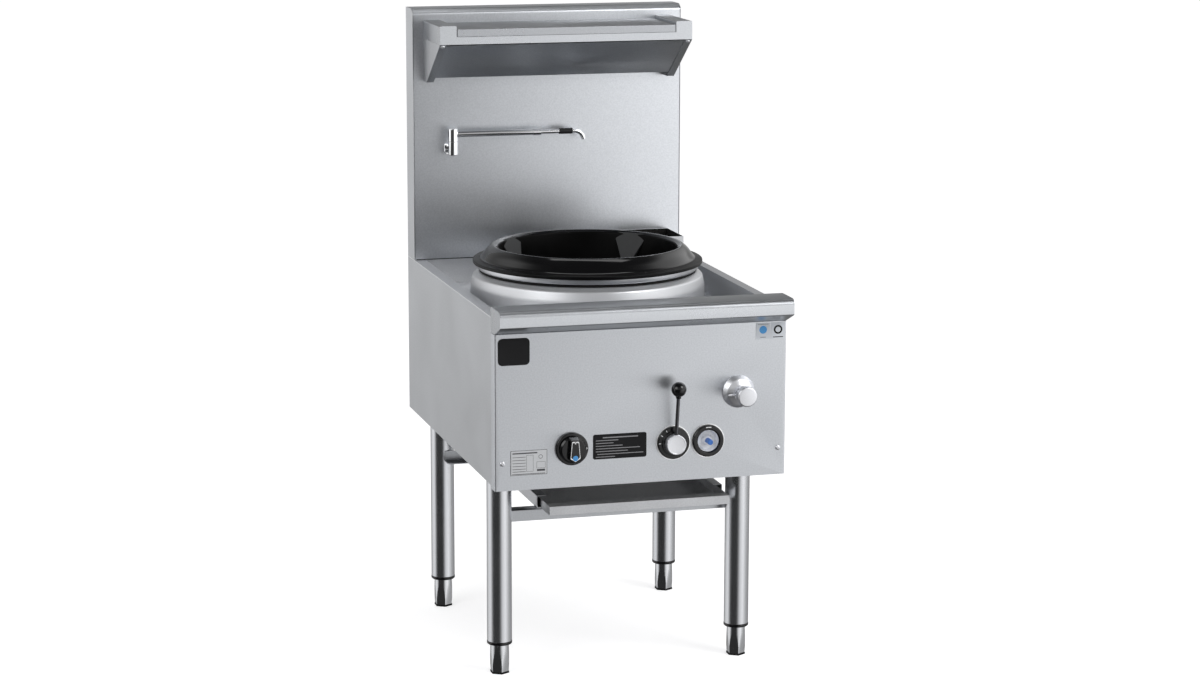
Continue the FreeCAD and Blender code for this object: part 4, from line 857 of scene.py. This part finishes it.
leverShape = {
    "hub": ((0, 10.3, 0), (20, 10.3, 0.5), (20, 26, 1.2), (17.6, 26, 0.4), (17.2, 25.4, 0.4), (0, 25.4, 0)),
    "lean": 19.0, "rise": 115.0, "root": 18.0,
    "stemRadius": 3.6, "stemStart": 12.0, "stemSunk": 0.7,
    "ballRadius": 15.0, "ballSteps": 28, "neck": (5.2, 4.5), "edge": 0.8,
}


def buildLever(values, foot):
    hub = turnedOnPanel("leverHub", values["hub"], foot, "satinSilver")
    settle(hub, "lever", "satin_silver", "lever_hub")
    start = foot + outward * values["root"] * mm
    arm = outward * values["lean"] * mm + zAxis * values["rise"] * mm
    along, reach = arm.normalized(), arm.length / mm
    ball, edge = values["ballRadius"], values["edge"]
    profile = ringProfile(0, values["stemRadius"], values["stemStart"], reach - ball * values["stemSunk"],
                          (0, edge, 0, 0))
    stem = lathe("leverStem", metres(profile), start, finishes["darkSteel"], along, xAxis, turnSegments["stem"])
    settle(stem, "lever", "dark_steel", "lever_stem")
    neckRadius, neckLength = values["neck"]
    neckFoot = reach - math.sqrt(ball * ball - neckRadius * neckRadius) - neckLength
    profile = [(0, neckFoot, 0), (neckRadius, neckFoot, edge)]
    first = math.asin(neckRadius / ball)
    steps = values["ballSteps"]
    for n in range(steps + 1):
        turn = first + (math.pi - first) * n / steps
        profile.append((ball * math.sin(turn) if n < steps else 0, reach - ball * math.cos(turn), 0))
    knob = lathe("leverBall", metres(profile), start, finishes["blackGloss"], along, xAxis, turnSegments["ball"])
    settle(knob, "lever", "black_gloss", "lever_ball")


buildLever(leverShape, leverFoot)

pilotShape = {
    "bezel": ((22.3, 0, 0), (32.25, 0, 0), (32.25, 5.6, 1.4), (30.5, 7, 1.2), (24.2, 7, 1.2),
              (22.3, 5.2, 0.8)),
    "rim": (32.25, 34.6, 1.2),
    "cup": ((0, -7, 0), (19.0, -7, 2.5), (20.8, 3.0, 0.4), (22, 4.6, 0.4), (22, -15.2, 1.2), (0, -15.2, 0)),
    "boss": ((0, -7, 0), (11.5, -7, 0.5), (9.4, -2, 1.5), (8.2, 2.0, 0.8), (5.7, 2.0, 0.3), (5.7, -2.0, 0),
             (0, -2.0, 0)),
    "barTurn": 90.0, "barReach": 28.0, "barSize": (1.8, 11.0), "barLevel": 7,
}


def buildPilot(values):
    foot = footOf("pilot_bezel")
    bezel = turnedOnPanel("pilotBezel", values["bezel"], foot, "blackGloss")
    settle(bezel, "root", "black_gloss", "pilot_bezel")
    buildRim("pilotBezelRim", foot, values["rim"])
    cup = turnedOnPanel("pilotCup", values["cup"], foot, "cupSilver", turnSegments["cup"])
    settle(cup, "root", "satin_silver", "pilot_cup")
    boss = turnedOnPanel("pilotCupBoss", values["boss"], foot, "cupSilver", turnSegments["boss"])
    settle(boss, "root", "satin_silver")
    length, width = values["barSize"]
    bar = buildMark("pilotBezelBar", foot, values["barTurn"], values["barReach"], length, width,
                    values["barLevel"], printLift, "whiteInk")
    settle(bar, "root", "plate_black")


buildPilot(pilotShape)

tapShape = {
    "flange": ((0, 0, 0), (33, 0, 0), (33, 3, 1.4), (26, 11, 10), (15, 16, 4), (10, 16, 0.6), (8.05, 14, 0),
               (8.05, 6, 0), (0, 6, 0)),
    "handle": ((0, 14, 0), (8, 14, 0), (8, 45, 1.0), (20, 45, 2.2), (20, 62, 3), (0, 62, 0)),
    "pinRadius": 2.6, "pinOut": 35.0, "pinStart": 6.0, "pinEnd": 32.0, "pinEdge": 1.2,
}


def buildTap(values):
    foot = footOf("tap_flange")
    flange = turnedOnPanel("tapFlange", values["flange"], foot, "satinSilver")
    settle(flange, "root", "satin_silver", "tap_flange")
    knob = turnedOnPanel("knob", values["handle"], foot, "satinSilver")
    profile = ringProfile(0, values["pinRadius"], values["pinStart"], values["pinEnd"],
                          (0, 0, values["pinEdge"], 0))
    pinFoot = foot + outward * values["pinOut"] * mm
    pin = lathe("pin", metres(profile), pinFoot, finishes["satinSilver"], -xAxis, zAxis, turnSegments["pin"])
    settle(joinInto("tapHandle", [knob, pin]), "tap_handle", "satin_silver", "tap_handle")


buildTap(tapShape)
print("controls built")


# plates and labels on the front panel; the marks on them are shares of a plate's width and height
plateShape = {
    "thickness": 0.6, "print": 0.12, "frameGap": 0.02,
    # left edge, lower edge, width, height, corner radius
    "namePlate": (-293.0, 669.0, 64.0, 54.0, 9.0),
    "guidePlate": (-100.3, 470.8, 110.0, 50.2, 4.0),
    "ratingPlate": (-268.0, 448.0, 74.0, 50.0, 2.0),
    "leftLabel": (236.0, 696.0, 29.5, 33.0, 1.0),
    "rightLabel": (267.6, 696.0, 29.0, 33.0, 1.0),
}
plates = (
    # plate, finish, edge, slot, nodes
    ("namePlate", "blackPlate", 0.25, "plate_black", "panel_plates"),
    ("guidePlate", "blackPlate", 0.2, "plate_black"),
    ("ratingPlate", "silverLabel", 0.15, "satin_silver"),
    ("leftLabel", "paperLabel", 0.1, "satin_silver"),
    ("rightLabel", "paperLabel", 0.1, "satin_silver"),
)
printed = {
    # plate, finish and slot; bars and frames by left, lower edge, width, height, and a frame's line;
    # discs by the place of the centre, outer and inner radius
    "guidePlateBars": ("guidePlate", "greyInk", "plate_black", {
        "bars": ((0.18, 0.84, 0.66, 0.045), (0.05, 0.735, 0.42, 0.03), (0.05, 0.625, 0.33, 0.03),
                 (0.05, 0.515, 0.50, 0.03), (0.05, 0.405, 0.83, 0.03), (0.05, 0.295, 0.60, 0.03),
                 (0.08, 0.185, 0.86, 0.03), (0.05, 0.075, 0.36, 0.03))}),
    "ratingPlateBars": ("ratingPlate", "darkInk", "plate_black", {
        "bars": ((0.05, 0.86, 0.68, 0.05), (0.05, 0.72, 0.36, 0.02), (0.05, 0.60, 0.36, 0.02),
                 (0.05, 0.48, 0.36, 0.02), (0.05, 0.36, 0.36, 0.02), (0.05, 0.24, 0.36, 0.02),
                 (0.05, 0.14, 0.36, 0.02), (0.04, 0.035, 0.90, 0.025), (0.72, 0.14, 0.22, 0.08)),
        "frames": ((0.43, 0.14, 0.19, 0.66, 0.5), (0.71, 0.26, 0.24, 0.26, 0.5), (0.0, 0.0, 1.0, 1.0, 0.8)),
        "discs": ((0.82, 0.72, 4.2, 3.3),)}),
    "leftLabelDisc": ("leftLabel", "blueInk", "blue_button", {"discs": ((0.5, 0.58, 8.0, 0.0),)}),
    "leftLabelBars": ("leftLabel", "greyInk", "plate_black", {
        "bars": ((0.12, 0.90, 0.76, 0.03), (0.30, 0.10, 0.40, 0.04))}),
    "rightLabelRing": ("rightLabel", "blackPlate", "plate_black", {
        "discs": ((0.5, 0.56, 9.0, 5.6),), "bars": ((0.14, 0.08, 0.72, 0.05),)}),
}


def plateSlab(name, left, bottom, right, top, levels, finishName, rounding=0.0, edge=0.0):
    outline = boxOutline(left * mm, bottom * mm, right * mm, top * mm, rounding * mm)
    low, high = levels
    return slab(name, outline, panelY - low * mm, panelY - high * mm, "y", finishes[finishName], edge * mm)


def printedMarks(values, plateName, finishName, marks):
    left, bottom, width, height = values[plateName][:4]
    levels = (values["thickness"], values["thickness"] + values["print"])

    def place(u, v):
        return left + u * width, bottom + v * height

    pieces = []
    for u, v, outer, inner in marks.get("discs", ()):
        x, z = place(u, v)
        foot = onPanel(x * mm, z * mm)
        profile = ringProfile(inner, outer, *levels)
        pieces.append(turnedOnPanel("disc", profile, foot, finishName, turnSegments["disc"]))
    boxes = []
    for u, v, w, h in marks.get("bars", ()):
        boxes.append((*place(u, v), *place(u + w, v + h)))
    for u, v, w, h, line in marks.get("frames", ()):
        x, z = place(u, v)
        farX, farZ = place(u + w, v + h)
        gap = line + values["frameGap"]
        boxes += [(x, z, farX, z + line), (x, farZ - line, farX, farZ), (x, z + gap, x + line, farZ - gap),
                  (farX - line, z + gap, farX, farZ - gap)]
    return pieces + [plateSlab("bar", *box, levels, finishName) for box in boxes]


def buildPlates(values):
    for plateName, finishName, edge, slotName, *nodeNames in plates:
        left, bottom, width, height, radius = values[plateName]
        plate = plateSlab(plateName, left, bottom, left + width, bottom + height, (0, values["thickness"]),
                          finishName, radius, edge)
        settle(plate, "root", slotName, *nodeNames)
    for name, (plateName, finishName, slotName, marks) in printed.items():
        settle(joinInto(name, printedMarks(values, plateName, finishName, marks)), "root", slotName)


buildPlates(plateShape)
print("plates built")


# screws: one head, set by a node tree on every screw's point
screwShape = {
    "radius": 5.0, "segments": 24, "socket": 1.7, "socketDepth": 1.3,
    # share of the radius, height above the sheet
    "dome": ((1.0, -0.6), (1.0, 0.7), (0.86, 1.7), (0.6, 2.35), (0.42, 2.6)),
    "panelX": 284.6, "panelZ": 473.0,
    "rearX": 278.5, "rearRows": (444.0, 593.0, 742.0, 782.0, 1033.5, 1285.0),
    "bracketDrop": 9.0, "bracketX": 268.25, "bracketFoot": 29.0,
}


def screwHead(values):
    count, top = values["segments"], values["dome"][-1][1]
    levels = [(share * values["radius"], level, False) for share, level in values["dome"]]
    levels += [(values["socket"], top, True), (values["socket"], top - values["socketDepth"], True)]
    rows = []
    for reach, level, hexed in levels:
        row = []
        for n in range(count):
            turn = 2 * math.pi * n / count
            spread = 1 / math.cos((turn + math.pi / 6) % (math.pi / 3) - math.pi / 6) if hexed else 1
            row.append(Vector((reach * spread * math.cos(turn), reach * spread * math.sin(turn), level)) * mm)
        rows.append(row)
    return skinned("screwHead", [rows], finishes["satinSilver"], headAngle, closed=False)


def screwTree():
    tree = bpy.data.node_groups.new("screwRows", "GeometryNodeTree")
    for label, kind in (("Geometry", "Geometry"), ("Head", "Object"), ("Finish", "Material"),
                        ("Head size", "Float")):
        tree.interface.new_socket(name=label, in_out="INPUT", socket_type="NodeSocket" + kind)
    tree.interface.new_socket(name="Geometry", in_out="OUTPUT", socket_type="NodeSocketGeometry")
    given = addNode(tree, "NodeGroupInput").outputs
    facing = addNode(tree, "GeometryNodeInputNamedAttribute", {"data_type": "FLOAT_VECTOR"}, Name="facing")
    aim = addNode(tree, "FunctionNodeAlignRotationToVector", {"axis": "Z"},
                  Vector=facing.outputs["Attribute"])
    shown = addNode(tree, "GeometryNodeObjectInfo", Object=given["Head"])
    points = addNode(tree, "GeometryNodeMeshToPoints", Mesh=given["Geometry"])
    heads = addNode(tree, "GeometryNodeInstanceOnPoints", Points=points.outputs[0], Rotation=aim.outputs[0],
                    Instance=shown.outputs["Geometry"], Scale=given["Head size"])
    real = addNode(tree, "GeometryNodeRealizeInstances", Geometry=heads.outputs[0])
    coat = addNode(tree, "GeometryNodeSetMaterial", Geometry=real.outputs[0], Material=given["Finish"])
    addNode(tree, "NodeGroupOutput", i0=coat.outputs[0])
    return tree


def setInput(modifier, label, value):
    for item in modifier.node_group.interface.items_tree:
        if item.item_type == "SOCKET" and item.in_out == "INPUT" and item.name == label:
            modifier[item.identifier] = value
            return
    raise KeyError(label)


def buildScrews(values):
    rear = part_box("rear_panel")[1].y
    low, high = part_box("shelf_bracket_right")
    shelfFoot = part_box("shelf_frame")[0].z
    # the bracket's folded edge slopes down and back from the shelf's front
    slope = Vector((0, high.y - low.y - values["bracketFoot"] * mm, low.z - shelfFoot)).normalized()
    points = []
    for side in (-1, 1):
        points.append((onPanel(side * values["panelX"] * mm, values["panelZ"] * mm), outward))
        for row in values["rearRows"]:
            points.append((Vector((side * values["rearX"] * mm, rear, row * mm)), -outward))
        top = Vector((side * values["bracketX"] * mm, low.y, shelfFoot))
        points.append((top + slope * values["bracketDrop"] * mm, Vector((0, slope.z, -slope.y))))
    mesh = bpy.data.meshes.new("panelScrews")
    mesh.from_pydata([place for place, facing in points], [], [])
    mesh.attributes.new("facing", "FLOAT_VECTOR", "POINT").data.foreach_set(
        "vector", [part for place, facing in points for part in facing])
    piece = bpy.data.objects.new("panelScrews", mesh)
    scene.collection.objects.link(piece)
    head = screwHead(values)
    modifier = piece.modifiers.new("screws", "NODES")
    modifier.node_group = screwTree()
    for label, value in (("Head", head), ("Finish", finishes["satinSilver"]), ("Head size", 1.0)):
        setInput(modifier, label, value)
    flattened(piece)
    bpy.data.objects.remove(head)
    settle(piece, "root", "screw_steel", "panel_screws")


buildScrews(screwShape)
print("screws set")


# pale floor, white surroundings and soft studio light
studio = {
    "floorReach": 60.0, "floorColour": (0.80, 0.80, 0.81), "floorDim": 0.97, "floorRough": 0.9,
    "floorLift": 0.58, "floorGrain": 2.0,
    "ambient": 0.55,
    # what polished steel sees at the height of the object, as (degrees to the right of the front, level)
    "lowRoom": ((-180, 0.38), (-155, 0.42), (-138, 0.85), (-106, 1.05), (-72, 0.035), (-13, 0.035),
                (22, 1.02), (46, 1.25), (64, 0.85), (90, 0.50), (140, 0.30), (180, 0.38)),
    "lift": (-0.26, -0.08), "liftShift": 9.0, "liftGain": 1.65,
    "skyTurn": (-0.2, 0.5), "sky": (0.40, 0.42),
    "softboxReach": (0.0, -0.4), "softboxLow": (0.20, 0.26), "softboxHigh": (0.30, 0.38), "softboxGain": 0.40,
    "sideBoxReach": (0.42, 0.80), "sideBoxLow": (0.08, 0.24), "sideBoxHigh": (0.66, 0.84), "sideBoxGain": 1.0,
    "zenithFrom": (0.60, 0.85), "zenith": 0.09,
    "nadirFrom": (-0.40, -0.80), "nadir": 0.14,
    "horizon": (0.06, 0.22),
    # place, size and power of the lamps, and the point they look at
    "lamps": {"keyLamp": ((2.4, -2.8, 3.4), (2.0, 2.0), 70), "fillLamp": ((-3.2, -2.0, 2.6), (2.4, 2.0), 30),
              "topLamp": ((0.2, 0.4, 3.6), (2.2, 0.6), 10)},
    "lampAim": (0, 0, 0.7),
}


def buildFloor(values):
    shape = bmesh.new()
    bmesh.ops.create_grid(shape, x_segments=2, y_segments=2, size=values["floorReach"])
    material, tree, shader = newMaterial("paleFloor")
    colour = values["floorColour"]
    dim = tuple(values["floorDim"] * part for part in colour)
    mottle = noise(tree, objectPlace(tree), values["floorGrain"])
    feed(tree, shader, Base_Color=mixColour(tree, mottle, dim, colour), Roughness=values["floorRough"])
    # the camera sees the floor a little lifted, and nothing else does
    seen = addNode(tree, "ShaderNodeLightPath").outputs["Is Camera Ray"]
    dark = addNode(tree, "ShaderNodeEmission", Strength=0.0)
    glow = addNode(tree, "ShaderNodeEmission", Color=(1, 1, 1, 1), Strength=values["floorLift"])
    pick = addNode(tree, "ShaderNodeMixShader", i0=seen, i1=dark.outputs[0], i2=glow.outputs[0])
    total = addNode(tree, "ShaderNodeAddShader", i0=shader.outputs[0], i1=pick.outputs[0])
    feed(tree, tree.nodes["Material Output"], Surface=total.outputs[0])
    floor = pieceFrom(shape, "floor", material)
    floor.visible_glossy = False


def turnRamp(tree, value, stops):
    # level by direction round the room, from (degrees, level) stops
    node = addNode(tree, "ShaderNodeValToRGB", Fac=value)
    band = node.color_ramp
    band.interpolation = "EASE"
    highest = max(level for degrees, level in stops)
    while len(band.elements) < len(stops):
        band.elements.new(1.0)
    for element, (degrees, level) in zip(band.elements, stops):
        element.position = degrees / 360 + 0.5
        element.color = (*(level / highest,) * 3, 1)
    return times(tree, node.outputs[0], highest)


def buildWorld(values):
    world = bpy.data.worlds.new("studio")
    world.use_nodes = True
    scene.world = world
    tree = world.node_tree

    def eased(value, reach, toLow=0.0, toHigh=1.0):
        return ramp(tree, value, *reach, toLow, toHigh, smooth=True)

    x, y, z = partsOf(tree, addNode(tree, "ShaderNodeTexCoord").outputs["Generated"])
    azimuth = compute(tree, "ARCTAN2", x, times(tree, y, -1.0))      # 0 in front, positive to the right
    # the dark card reaches further to the right near the horizon
    share = compute(tree, "SUBTRACT", compute(tree, "DIVIDE", azimuth, 2 * math.pi),
                    eased(z, values["lift"], 0.0, values["liftShift"] / 360))
    room = turnRamp(tree, plus(tree, share, 0.5), values["lowRoom"])
    room = times(tree, room, eased(z, values["lift"], 1.0, values["liftGain"]))
    sky = eased(y, values["skyTurn"], *values["sky"])
    for box, facing in (("softbox", y), ("sideBox", compute(tree, "ABSOLUTE", x))):
        height = times(tree, eased(z, values[box + "Low"]), eased(z, values[box + "High"], 1.0, 0.0))
        glow = times(tree, height, eased(facing, values[box + "Reach"]))
        sky = plus(tree, sky, times(tree, glow, values[box + "Gain"]))
    sky = mixLevel(tree, eased(z, values["zenithFrom"]), sky, values["zenith"])
    level = mixLevel(tree, eased(z, values["horizon"]), room, sky)
    level = mixLevel(tree, eased(z, values["nadirFrom"]), level, values["nadir"])
    light = addNode(tree, "ShaderNodeLightPath").outputs
    mirrored = compute(tree, "MAXIMUM", light["Is Glossy Ray"], light["Is Transmission Ray"])
    glossy = mixColour(tree, mirrored, (values["ambient"],) * 3, level)
    feed(tree, tree.nodes["Background"], Color=mixColour(tree, light["Is Camera Ray"], glossy, (1, 1, 1)))


def buildLamps(values):
    for name, (place, size, power) in values["lamps"].items():
        data = bpy.data.lights.new(name, "AREA")
        data.shape = "RECTANGLE"
        data.size, data.size_y = size
        data.energy = power
        lamp = bpy.data.objects.new(name, data)
        lamp.location = place
        aim = Vector(values["lampAim"]) - Vector(place)
        lamp.rotation_euler = aim.to_track_quat("-Z", "Y").to_euler()
        scene.collection.objects.link(lamp)


buildFloor(studio)
buildWorld(studio)
buildLamps(studio)
print("studio lit")
